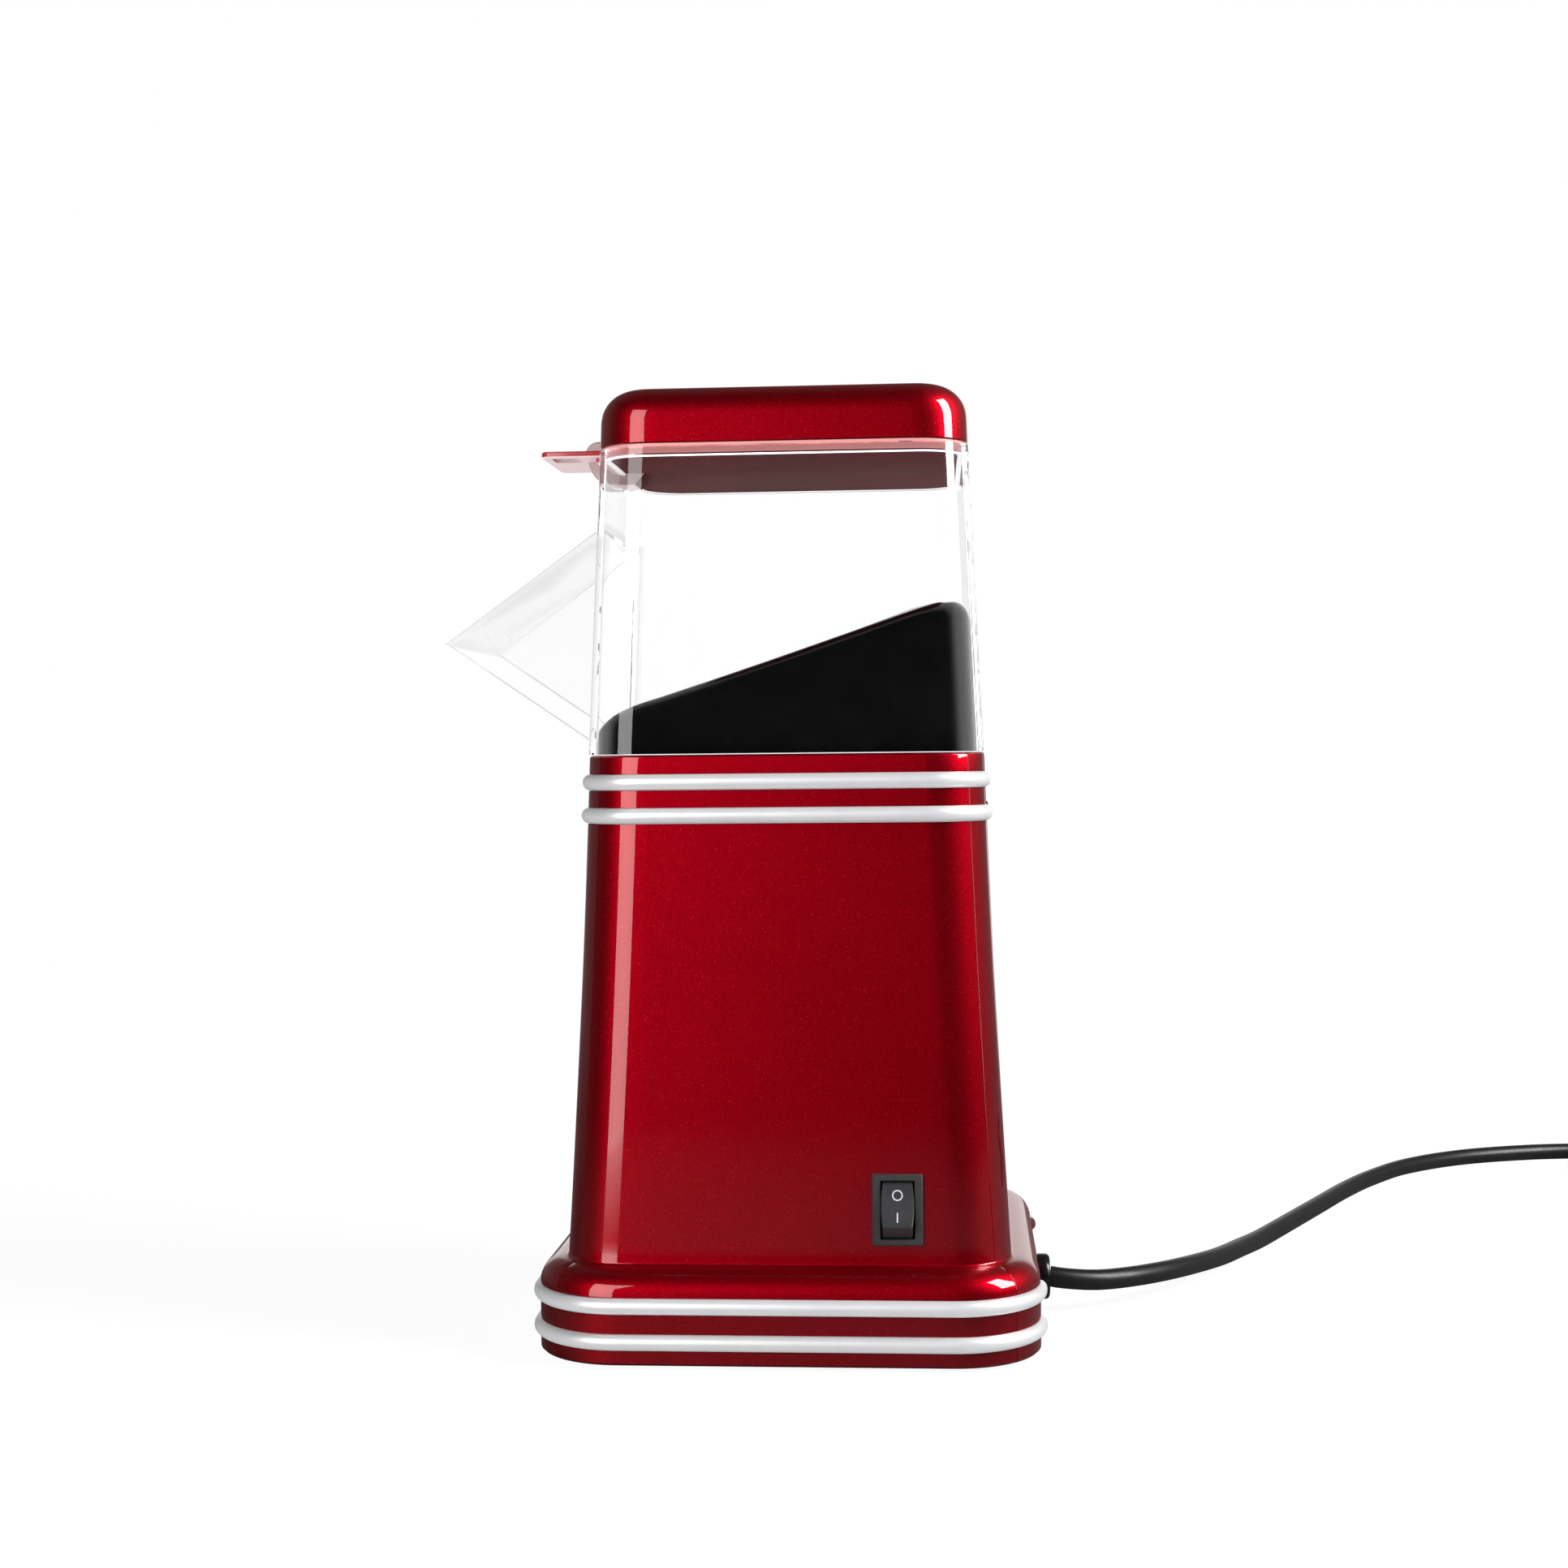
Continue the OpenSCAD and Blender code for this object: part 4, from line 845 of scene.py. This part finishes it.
# ---- Clear hood and chute ----
def build_hood():
    """The clear hood, with an opening for the chute, a notch for the cup's nose and a ledge for the cup."""
    gap = CHUTE_HX + 0.3
    notch = NOSE_HX + 0.8
    sides = (spread(40, -40, 7), spread(40, -40, 7), [-gap, -notch, 0, notch, gap], spread(-40, 40, 7))
    ledge = (CUP_FLOOR - 0.7, CUP_FLOOR - 0.65, CUP_FLOOR - 0.3, CUP_FLOOR - 0.25)
    mouth_top, notch_foot = CHUTE_TOP + 0.3, HOOD_TOP - NOSE_D - 1
    heights = [BODY_H + 0.2, CHUTE_FOOT, 200, 216, 232, mouth_top, 256, notch_foot, 267.5, *ledge, HOOD_TOP]
    outer = [outline(hood_hy(z) - SLIM, hood_hy(z), BODY_R - 2, z, sides) for z in heights]
    inner = []
    for z in heights:
        thick = CLEAR_T + (1.3 if z in ledge[1:3] else 0.0)
        inner.append(outline(hood_hy(z) - SLIM - thick, hood_hy(z) - thick, BODY_R - 2 - thick, z, sides))
    last = 2 * len(heights) - 1
    n = len(outer[0])
    start = 3 * (ARC_STEPS + 1) + len(sides[0]) + len(sides[1])
    k_foot, k_top = heights.index(CHUTE_FOOT), heights.index(mouth_top)
    k_notch, k_rim = heights.index(notch_foot), len(heights) - 1
    chute_cols, notch_cols = (start, start + 4), (start + 1, start + 3)
    holes = [(*chute_cols, k_foot, k_top), (*chute_cols, last - k_top, last - k_foot),
             (*notch_cols, k_notch, last - k_notch)]
    points, faces = rings_mesh(outer + inner[::-1], loop=True, holes=holes)
    rows = list(range(k_foot, k_top + 1))
    faces += walls_of_hole(n, *chute_cols, rows, [last - k for k in rows])
    rows = list(range(k_notch, k_rim + 1))
    faces += walls_of_hole(n, *notch_cols, rows, [last - k for k in rows], open_top=True)
    shelf = range((last - heights.index(ledge[3])) * n, (last - heights.index(ledge[0]) + 1) * n)
    # the ledge's faces get the white, glowing finish that paints a highlight along it
    kinds = [int(all(i in shelf for i in f)) for f in faces]
    return piece("clear_hood", points, faces, [CLEAR, LEDGE_HIGHLIGHT], "clear_plastic", "hood", ("hood",), 30, kinds)


def chute_bead(start, end, way, side):
    """A thin moulded bead along the chute's cheek on one side, between two (y, z) corners, whose darker,
    less clear finish paints the grey line along the clear edge. It lies below its line where way is -1 and
    above it where way is 1."""
    wide, proud, deep = 0.5, 0.02, 0.5
    (y0, z0), (y1, z1) = start, end
    k = way * wide / math.hypot(y1 - y0, z1 - z0)
    dy, dz = k * abs(z1 - z0), k * abs(y1 - y0)
    outside, inside = side * (CHUTE_HX + proud), side * (CHUTE_HX - deep)
    ends = [np.array([(outside, y, z), (outside, y + dy, z + dz), (inside, y + dy, z + dz), (inside, y, z)])
            for y, z in (start, end)]
    points, faces = capped(ends)
    kinds = [1] * len(faces)
    return piece("bead", points, faces, [CLEAR_CHUTE, CHUTE_EDGE_LINE], "clear_plastic", "hood", (), 20, kinds)


def chute_shell(t, top_y, foot_y):
    """The chute's roof and two cheeks, t thick, open at the back and at the mouth."""
    fall = (CHUTE_TOP - CHUTE_LIP) / (CHUTE_REACH + top_y)
    drop = t * math.hypot(1, fall)
    along = drop / ((CHUTE_LIP - CHUTE_FOOT) + fall * (CHUTE_REACH + foot_y))
    lip = (-CHUTE_REACH + along * (CHUTE_REACH + foot_y), CHUTE_LIP - along * (CHUTE_LIP - CHUTE_FOOT))
    back = 2.9
    foot = [(foot_y, CHUTE_FOOT), (foot_y + back, CHUTE_FOOT)]
    out = [(top_y + back, CHUTE_TOP), (top_y, CHUTE_TOP), (-CHUTE_REACH, CHUTE_LIP)] + foot
    inn = [(top_y + back, CHUTE_TOP - drop), (top_y, CHUTE_TOP - drop), lip] + foot
    points = []
    for loop, x in ((out, CHUTE_HX), (out, -CHUTE_HX), (inn, CHUTE_HX - t), (inn, t - CHUTE_HX)):
        points += [(x, y, z) for y, z in loop]
    # the four loops have five points each, numbered on from one another
    faces = [[5 * k + i for i in range(5)] for k in range(4)]
    for k in (0, 5):
        faces += [(k + i, k + j, k + j + 10, k + i + 10) for i, j in ((2, 3), (3, 4), (4, 0))]
    faces += [(i, j, j + 5, i + 5) for i, j in ((0, 1), (1, 2), (10, 11), (11, 12), (2, 12), (0, 10))]
    kinds = [CLEAR_CHUTE, CHUTE_EDGE_LINE]
    return piece("clear_chute", points, faces, kinds, "clear_plastic", "hood", ("chute",), 20)


def chute_flange(t):
    """The thin frame round the chute's back edge, inside the hood's front wall."""
    over, thick = 2.2, 1.2
    plate = (CHUTE_HX + over, CHUTE_FOOT - 0.8, CHUTE_TOP + over)
    window = (CHUTE_HX - t, CHUTE_FOOT + 1.4, CHUTE_TOP - 2.1)
    points, faces = [], []
    for depth in (CLEAR_T + 0.3, CLEAR_T + 0.3 + thick):
        for hx, low, high in (plate, window):
            for x, z in ((-hx, low), (hx, low), (hx, high), (-hx, high)):
                points.append((x, -hood_hy(z) + depth, z))
    for i in range(4):
        j = (i + 1) % 4
        for a, b in ((0, 4), (8, 12), (0, 8), (4, 12)):
            faces.append((i + a, j + a, j + b, i + b))
    return piece("flange", points, faces, [CLEAR_CHUTE], "clear_plastic", "hood")


def build_chute():
    t = CLEAR_T - 0.3
    top_y, foot_y = -hood_hy(CHUTE_TOP), -hood_hy(CHUTE_FOOT)
    made = fused(chute_shell(t, top_y, foot_y), chute_flange(t))
    corners = ((top_y - 0.3, CHUTE_TOP), (0.4 - CHUTE_REACH, CHUTE_LIP), (foot_y, CHUTE_FOOT + 0.3))
    for side in (-1, 1):
        made = fused(made, chute_bead(corners[0], corners[1], -1, side))
        made = fused(made, chute_bead(corners[1], corners[2], 1, side))
    return bevelled(made, 0.3, 20)


build_hood()
build_chute()


# ---- Measuring cup ----
NO_SIDES = ([0.0],) * 4


def rounded_plate(name, hx, hy, r, z0, z1, edge, mid_y):
    """A rounded-corner plate with softened rims, as a closed solid."""
    rings = []
    for z, i in ((z0, edge), (z0 + edge, 0), (z1 - edge, 0), (z1, edge)):
        ring = outline(hx - i, hy - i, r - i, z, NO_SIDES, arc=8)
        ring[:, 1] += mid_y
        rings.append(ring)
    return closed_piece(name, rings, [CUP_RED], "red_tray", "cup")


def cup_painted_light_finish(at, normal, handle_z, ring_top):
    """Which copy of the cup's red a face gets: paler, glowing copies paint the light that comes through its
    thin parts and the reflection on the handle's underside, and a darker, duller copy paints the shade
    under the floor.
    """
    x, y, z = at
    hood_front, nose_tip, floor_front, floor_edge = -56.6, -60.0, -43.5, -51.0
    if y < hood_front:
        in_line = abs(x) < NOSE_HX + 0.1
        nose_cheek = in_line and (z < handle_z - 0.1 or z > handle_z + 2.0) and abs(normal.x) > 0.02
        # faces under the handle get the pale copy: a painted reflection of the pale surroundings at a
        # grazing angle
        under = z < handle_z + 0.3 and normal.z < -0.7
        # the nose's cheeks and tip get the pale pink-grey: painted light through the thin nose
        if nose_cheek or (in_line and not under and y < nose_tip):
            return NOSE_PAINTED_LIGHT
        return CUP_PAINTED_LIGHT if under else CUP_RED
    # the floor's underside is painted shade, with painted light at its front where light comes in through
    # the nose's opening
    if z < CUP_FLOOR + 0.4:
        pale = y < floor_front and (y < floor_edge or z > CUP_FLOOR - 0.05)
        return CUP_PAINTED_LIGHT if pale else CUP_FLOOR_SHADE
    # the ring below the lip's top gets the pinker, glowing copy: painted light through the thin ring
    return CUP_RIM_GLOW if z < ring_top + 0.1 else CUP_RED


def build_cup():
    """The measuring cup: a tray in the hood's rim, its slotted handle and the nose under it."""
    lip_z, lip_t = HOOD_TOP + 0.1, 0.7
    ring_hy = HOOD_TOP_HY - CLEAR_T - 0.35
    ring_hx, ring_r = ring_hy - SLIM, 14.2
    wall_in, wall_top, t, foot_r = 0.6, HOOD_TOP + 8.4, 1.6, 0.6

    def level(inset, z):
        return outline(ring_hx - inset, ring_hy - inset, ring_r - inset, z, NO_SIDES, arc=10)

    # outside: the floor's rounded foot, the ring, the lip on the hood's rim and the wall inside the lid
    rings = [level(foot_r * (1 - c), CUP_FLOOR + foot_r * (1 - s)) for c, s in map(polar, (90, 60, 30, 0))]
    floor_top, lip_top, inside = CUP_FLOOR + t, lip_z + lip_t, wall_in + t
    rings += [level(0, lip_z), level(-1.9, lip_z), level(-1.9, lip_top), level(wall_in, lip_top),
              level(wall_in, wall_top - 0.3), level(wall_in + 0.3, wall_top), level(inside - 0.3, wall_top),
              level(inside, wall_top - 0.3), level(inside, floor_top + 2),
              level(inside + 0.6, floor_top + 0.6), level(inside + 2, floor_top)]
    cup = closed_piece("measuring_tray", rings, [CUP_RED], "red_tray", "cup", ("measuring_cup",), 34)
    reach, root, riser, handle_z = 78.7, 58.0, 3.4, HOOD_TOP + 1.6
    handle_hy, handle_y = (reach - root) / 2, -(reach + root) / 2
    handle = rounded_plate("handle", 20, handle_hy, 3, handle_z, handle_z + 1.9, 0.35, handle_y)
    slot = rounded_plate("slot", 4.9, 4.35, 1.0, handle_z - 1, handle_z + 3, 0.1, -71.35)
    slot.data.transform(Matrix.Translation((0.0114, 0, 0)))
    handle = fused(handle, slot, "DIFFERENCE")
    step = rounded_plate("step", 17, riser / 2, 1, lip_z, handle_z + 1, 0.1, -root - riser / 2)
    tongue = rounded_plate("tongue", 17, riser, 1, lip_z, lip_top, 0.1, -root)
    top = HOOD_TOP
    side = [(-46, CUP_FLOOR + 0.4), (-50, top - NOSE_D), (-56, top - NOSE_D + 0.05), (-58.6, top - 5.8),
            (-60.6, top - 5.2), (-62.2, top - 4.3), (-63.4, top - 3.2), (-64.4, top - 1.7), (-65, top),
            (-65.6, top + 1.8)]
    side += arc_points(-62.3, top + 4.1, 4.2, 180, 0, 14) + [(-58.1, top + 0.7), (-46, top + 0.7)]
    cy, cz = -55.0, HOOD_TOP - 1
    nose_rings = []
    for x, shrink in ((-NOSE_HX, 0.07), (0.5 - NOSE_HX, 0.02), (1.2 - NOSE_HX, 0), (NOSE_HX - 1.2, 0),
                      (NOSE_HX - 0.5, 0.02), (NOSE_HX, 0.07)):
        nose_rings.append(np.array([(x, y - (y - cy) * shrink, z - (z - cz) * shrink) for y, z in side]))
    nose = closed_piece("nose", nose_rings, [CUP_RED], "red_tray", "cup", (), 34)
    for part in (tongue, step, handle, nose):
        cup = fused(cup, part)
    mesh = cup.data
    mesh.materials.clear()
    # the cup's own red, then copies of it that paint light and shade
    kinds = (CUP_RED, CUP_RIM_GLOW, CUP_FLOOR_SHADE, CUP_PAINTED_LIGHT, NOSE_PAINTED_LIGHT)
    for m in kinds:
        mesh.materials.append(m)
    for f in mesh.polygons:
        at = (Vector(f.center) - Vector(ORIGIN)) / MM
        f.use_smooth = True
        f.material_index = kinds.index(cup_painted_light_finish(at, f.normal, handle_z, lip_top))
    mesh.set_sharp_from_angle(angle=math.radians(30))
    return bevelled(cup, 0.25, 40)


build_cup()


# ---- Lid ----
def build_lid():
    """The lid over the cup, with a softly crowned top."""
    z0, height, edge = HOOD_TOP + 0.9, 18.2, 10.5
    top = z0 + height
    side_top = top - edge
    sides = tuple(spread(a, -a, 5) for a in (36, 36, -36, -36))

    def ring(inset, r, z):
        return outline(HOOD_TOP_HY - inset - SLIM, HOOD_TOP_HY - inset, r - inset, z, sides)

    rings = [ring(0.4, 16, z0), ring(0.05, 16, z0 + 0.35), ring(0.1, 16, z0 + 2.5), ring(0.3, 16, side_top)]
    for c, s in map(polar, np.linspace(8, 90, 12)):
        rings.append(ring(0.3 + edge * (1 - c), 16.4, side_top + (edge - 0.35) * s))
    crown = rings[-1]
    for k, lift in ((0.75, 0.16), (0.5, 0.27), (0.25, 0.33), (0.02, 0.35)):
        rings.append(np.column_stack([crown[:, :2] * k, np.full(len(crown), top - 0.35 + lift)]))
    inner = [np.column_stack([crown[:, :2] * k, np.full(len(crown), top - 2)]) for k in (0.02, 0.5)]
    for c, s in map(polar, np.linspace(80, 0, 6)):
        inner.append(ring(2.3 + (edge - 2) * (1 - c), 16.4, side_top + (edge - 2) * s))
    inner += [ring(2.1, 16, z0 + 0.3), ring(1.9, 16, z0)]
    points, faces = rings_mesh(rings + inner, loop=True)
    n = len(crown)
    # the loop leaves a pin-hole through the crown, which is closed by a cap on each side
    top_ring, under_ring = len(rings) - 1, len(rings)
    faces = [f for f in faces if not (f[0] // n == top_ring and f[2] // n == under_ring)]
    faces += [[top_ring * n + j for j in range(n)], [under_ring * n + j for j in range(n)]]
    return piece("red_lid", points, faces, [RED], "red_paint", "lid", ("lid",))


build_lid()


# ---- Switch ----
LEAN = math.atan(body_hy(SWITCH_Z - 0.5) - body_hy(SWITCH_Z + 0.5))
WALL_POINT = np.array([body_hy(SWITCH_Z) - SLIM, SWITCH_Y, SWITCH_Z])
BEZEL_T, PIVOT_IN, ROCKER_R, ROCKER_TILT = 1.5, 2.66, 8.85, 14.0
FACE_ANGLE, DISH, ROCKER_HZ = 44.8, 0.9, 6.3


def on_wall(points, tilt=0.0):
    """Points in the switch's own frame, +X out of the wall, as millimetres about the body's axis. With a
    tilt they are given in the rocker's frame, about its pivot."""
    (tc, ts), (lc, ls) = polar(tilt), (math.cos(LEAN), math.sin(LEAN))
    out = []
    for x, y, z in points:
        if tilt:
            x, z = x * tc - z * ts - PIVOT_IN, x * ts + z * tc
        out.append((x * lc - z * ls, y, x * ls + z * lc))
    return np.array(out) + WALL_POINT


def frame_loop(hy, hz, x, r):
    """A rounded rectangle facing out of the wall at depth x."""
    points = []
    for q, (sy, sz) in enumerate(QUARTERS):
        for y, z in arc_points(sy * (hy - r), sz * (hz - r), r, 90 * q, 90 * q + 90, 3):
            points.append((x, y, z))
    return points


def build_switch_body():
    well_y, well_z = 5.0, 8.55
    loops = [
        (6.5, 9.5, -14.0, 0.6), (6.5, 9.5, 0.06, 0.6), (7.5, 10.5, 0.06, 0.5),
        (7.5, 10.5, BEZEL_T - 0.45, 0.5), (7.05, 10.05, BEZEL_T, 0.5),
        (well_y + 0.25, well_z + 0.25, BEZEL_T, 0.4),
        (well_y, well_z, BEZEL_T - 0.3, 0.3), (well_y, 8.4, -2.0, 0.3), (well_y, 6.6, -8.4, 0.3),
        (well_y, 3.0, -11.2, 0.3),
    ]
    rings = [on_wall(frame_loop(*loop)) for loop in loops]
    return closed_piece("switch_bezel", rings, [SWITCH_GREY], "dark_plastic", "base", ("switch_body",), 25)


def face_x(z):
    """How far out the rocker's dished face stands at height z in its own frame."""
    c, s = polar(FACE_ANGLE)
    return ROCKER_R * c - DISH * (1 - (z / (ROCKER_R * s)) ** 2)


def rocker_half(z):
    """Half the rocker's width at height z: it bulges at the middle."""
    return 4.88 - 0.50 * (min(abs(z), ROCKER_HZ) / ROCKER_HZ) ** 2


def build_rocker():
    end_z = ROCKER_R * polar(FACE_ANGLE)[1]
    profile = [(face_x(z), z) for z in np.linspace(-end_z, end_z, 15)]
    profile += arc_points(0, 0, ROCKER_R, FACE_ANGLE, 109, 9)[1:] + [(-3.1, 0.0)]
    profile += arc_points(0, 0, ROCKER_R, -109, -FACE_ANGLE, 9)[:-1]
    rings = []
    for share, shrink in ((-1.0, 0.22), (-0.955, 0.0), (-0.5, 0), (0.5, 0), (0.955, 0.0), (1.0, 0.22)):
        k = 1 - shrink / ROCKER_R
        rings.append(on_wall([(x * k, share * rocker_half(z), z * k) for x, z in profile], ROCKER_TILT))
    return closed_piece("rocker_cap", rings, [ROCKER_GREY], "rocker_black", "rocker",
                        ("switch_rocker",), 30)


def mark_rings(strip):
    """Rings of a printed mark: pairs of (y, z) edge points on the rocker's face, as a thin raised film."""
    rings = []
    for (y0, z0), (y1, z1) in strip:
        corners = ((y0, z0, 0.05), (y1, z1, 0.05), (y1, z1, -0.1), (y0, z0, -0.1))
        rings.append(on_wall([(face_x(z) + lift, y, z) for y, z, lift in corners], ROCKER_TILT))
    return rings


def build_marks():
    circle = [tuple((r * c, 3.15 + r * s) for r in (1.22, 1.58)) for c, s in map(polar, range(0, 360, 9))]
    points, faces = rings_mesh(mark_rings(circle), loop=True)
    piece("off_mark", points, faces, [MARK_WHITE], "rocker_black", "rocker", (), 30)
    bar = [((-0.19, z), (0.19, z)) for z in np.linspace(-4.8, -1.9, 6)]
    closed_piece("on_mark", mark_rings(bar), [MARK_WHITE], "rocker_black", "rocker", (), 30)


build_switch_body()
build_rocker()
build_marks()


# ---- Strain relief, where the lead leaves the housing ----
def build_relief():
    """A flanged bushing: a rounded collar outside the wall, a neck through it and a ribbed taper inside."""
    out = RELIEF_FLANGE
    profile = [(3.45, out), (6.0, out), (6.8, out - 0.35), (7.2, out - 1.1), (7.2, 1.1), (6.9, 0.35),
               (6.2, 0.02), (4.9, 0.0), (4.9, -2.5), (5.8, -2.6)]
    for k in range(6):
        h, r = -3.6 - 3.4 * k, 5.75 - 0.3 * k
        profile += [(r, h), (r - 0.05, h - 1.9), (r - 0.75, h - 2.3), (r - 0.8, h - 3.0)]
    profile += [(4.0, -24.0), (4.0, -24.5), (3.2, -24.5)]
    rings = lathe(profile, (0, BASE_HY, RELIEF_Z), (0, 1, 0), 48)
    return closed_piece("cord_bushing", rings, [BLACK_PLASTIC], "gloss_black", "base",
                        ("strain_relief",), 34)


build_relief()


# ---- Heater wires: wound coils on the mica cross ----
def build_heater():
    lo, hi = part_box("heater_coil")
    mid_z = (lo.z + hi.z) / 2 / MM - ORIGIN[2] / MM
    wound = 1.85
    runs = []
    for r in (14.0, 24.0, 34.0):
        turns = int(2 * math.pi * r / 1.7)
        a = np.linspace(0, 2 * math.pi, turns * 9, endpoint=False)
        reach = r + wound * np.cos(a * turns)
        z = mid_z + wound * np.sin(a * turns)
        runs.append(world(np.stack([reach * np.cos(a), reach * np.sin(a), z], axis=1)))
    curve = wires("heater_windings", runs, 0.32, 1, loop=True)
    return linked("heater_windings", curve, [HOT_WIRE], "base", ("heater_coil",))


build_heater()


# ---- CAD parts that keep their own shape: only a better finish ----
FINISHES = {
    "base_plate": DARK_PLASTIC, "rubber_feet": RUBBER, "base_screws": STEEL, "popping_chamber": SPUN,
    "chamber_gasket": GASKET, "chamber_screws": STEEL, "air_duct": PHENOLIC, "duct_screws": STEEL,
    "mica_frame": MICA, "thermostat": CERAMIC, "thermal_fuse": STEEL, "fan_housing": PHENOLIC,
    "motor_can": STEEL, "motor_end_cap": DARK_PLASTIC, "motor_magnets": MAGNET, "motor_screws": STEEL,
    "upper_bush": BRONZE, "lower_bush": BRONZE, "motor_brushes": MAGNET, "motor_terminals": COPPER,
    "rectifier_board": BOARD, "rectifier_diodes": COMPONENT, "switch_terminals": COPPER,
    "motor_shaft": STEEL,
    "armature_core": STEEL, "armature_windings": ENAMEL_WIRE, "commutator": COPPER, "impeller": FAN_PLASTIC,
    "impeller_clip": STEEL, "live_wire": WIRE_BROWN, "switched_wire": WIRE_RED, "neutral_wire": WIRE_BLUE,
}
for node_name, finish in FINISHES.items():
    for slot in NODES[node_name].material_slots:
        slot.material = finish


# ---- Stage and light ----
def build_floor():
    """A pale round floor under the object that fades out into the white background."""
    mesh = bpy.data.meshes.new("floor")
    n = 96
    turns = np.linspace(0, 2 * math.pi, n, endpoint=False)
    points = [(r * math.cos(a), r * math.sin(a) + 0.1, 0.0) for r in (0.3, 0.6, 1.0, 1.6) for a in turns]
    faces = [(k * n + j, k * n + (j + 1) % n, (k + 1) * n + (j + 1) % n, (k + 1) * n + j)
             for k in range(3) for j in range(n)]
    mesh.from_pydata(points, [], faces + [list(range(n))])
    floor = bpy.data.objects.new("floor", mesh)
    SCENE.collection.objects.link(floor)
    t = Finish("pale_floor", Base_Color=(0.14, 0.14, 0.14, 1.0), Roughness=0.9, Emission_Color=(1, 1, 1, 1),
               Specular_IOR_Level=0.0)
    path = t.node("ShaderNodeLightPath").outputs
    glossy = t.maths("GREATER_THAN", path["Glossy Depth"], 0.5)
    mirrored = t.maths("MULTIPLY", glossy, t.maths("LESS_THAN", path["Transmission Depth"], 0.5))
    # what the glossy paint mirrors of the floor stays dim
    t.feed(Emission_Strength=t.ranged(mirrored, 0.93, 0.01, 0.0, 1.0))
    away = t.vector("LENGTH", {0: t.place}, "Value")
    fade = t.ranged(away, 1.0, 0.0, 0.45, 1.4)
    clear = t.node("ShaderNodeBsdfTransparent").outputs[0]
    mix = t.node("ShaderNodeMixShader", {0: fade, 1: clear, 2: t.shader.outputs[0]}).outputs[0]
    t.link(mix, t.tree.nodes["Material Output"].inputs["Surface"])
    mesh.materials.append(t.material)


def build_world():
    """A white backdrop behind the object, and a dimmer studio all round for what its surfaces mirror."""
    SCENE.world = bpy.data.worlds.new("studio")
    t = Tree(SCENE.world)
    t.tree.nodes.clear()

    def smooth(value, start, end, low, high):
        return t.ranged(value, low, high, start, end, "SMOOTHSTEP")

    place = t.node("ShaderNodeTexCoord").outputs["Generated"]
    x, _, z = t.node("ShaderNodeSeparateXYZ", {0: place}).outputs
    backdrop = smooth(x, -0.87, -0.95, 0.0, 0.9)
    sides = smooth(x, 0.30, -0.45, 0.012, 0.14)
    ceiling = smooth(z, 0.25, 0.7, 1.0, 0.45)
    studio = t.maths("MULTIPLY", t.maths("ADD", sides, backdrop), ceiling)
    path = t.node("ShaderNodeLightPath").outputs
    through = t.maths("GREATER_THAN", path["Transmission Depth"], 0.5)
    unmirrored = t.maths("LESS_THAN", t.maths("ADD", path["Glossy Depth"], path["Diffuse Depth"]), 0.5)
    straight = t.maths("MULTIPLY", unmirrored, t.maths("ADD", 1.0, t.maths("MULTIPLY", through, 0.25)))
    # light that has run along inside the clear plastic comes out pale
    trapped = t.maths("MULTIPLY", through, t.maths("GREATER_THAN", path["Glossy Depth"], 0.5))
    piped = t.maths("MULTIPLY", trapped, smooth(x, 0.45, 0.0, 0.0, 0.8))
    value = t.maths("MAXIMUM", t.maths("MAXIMUM", studio, straight), piped)
    colour = t.node("ShaderNodeCombineColor", {0: value, 1: value, 2: value}).outputs[0]
    shader = t.node("ShaderNodeBackground", {"Color": colour}).outputs[0]
    t.node("ShaderNodeOutputWorld", {"Surface": shader})


def softbox(name, at, aim, width, height, radiance):
    """A rectangular area light that looks as bright as radiance and that the camera doesn't see. Its place
    and size are in millimetres, about the body's axis."""
    data = bpy.data.lights.new(name, "AREA")
    data.shape = "RECTANGLE"
    data.size, data.size_y = width * MM, height * MM
    data.energy = radiance * data.size * data.size_y * math.pi
    light = bpy.data.objects.new(name, data)
    SCENE.collection.objects.link(light)
    at, aim = Vector(world(at)), Vector(world(aim))
    light.matrix_world = Matrix.Translation(at) @ (aim - at).to_track_quat("-Z", "Y").to_matrix().to_4x4()
    light.visible_camera = False
    light.visible_transmission = False


build_floor()
build_world()
softbox("key_left", (1000, -560, 300), (0, 0, 130), 560, 1400, 4.6)
softbox("spot_right", (230, 1000, 800), (0, 0, 280), 420, 760, 20.0)
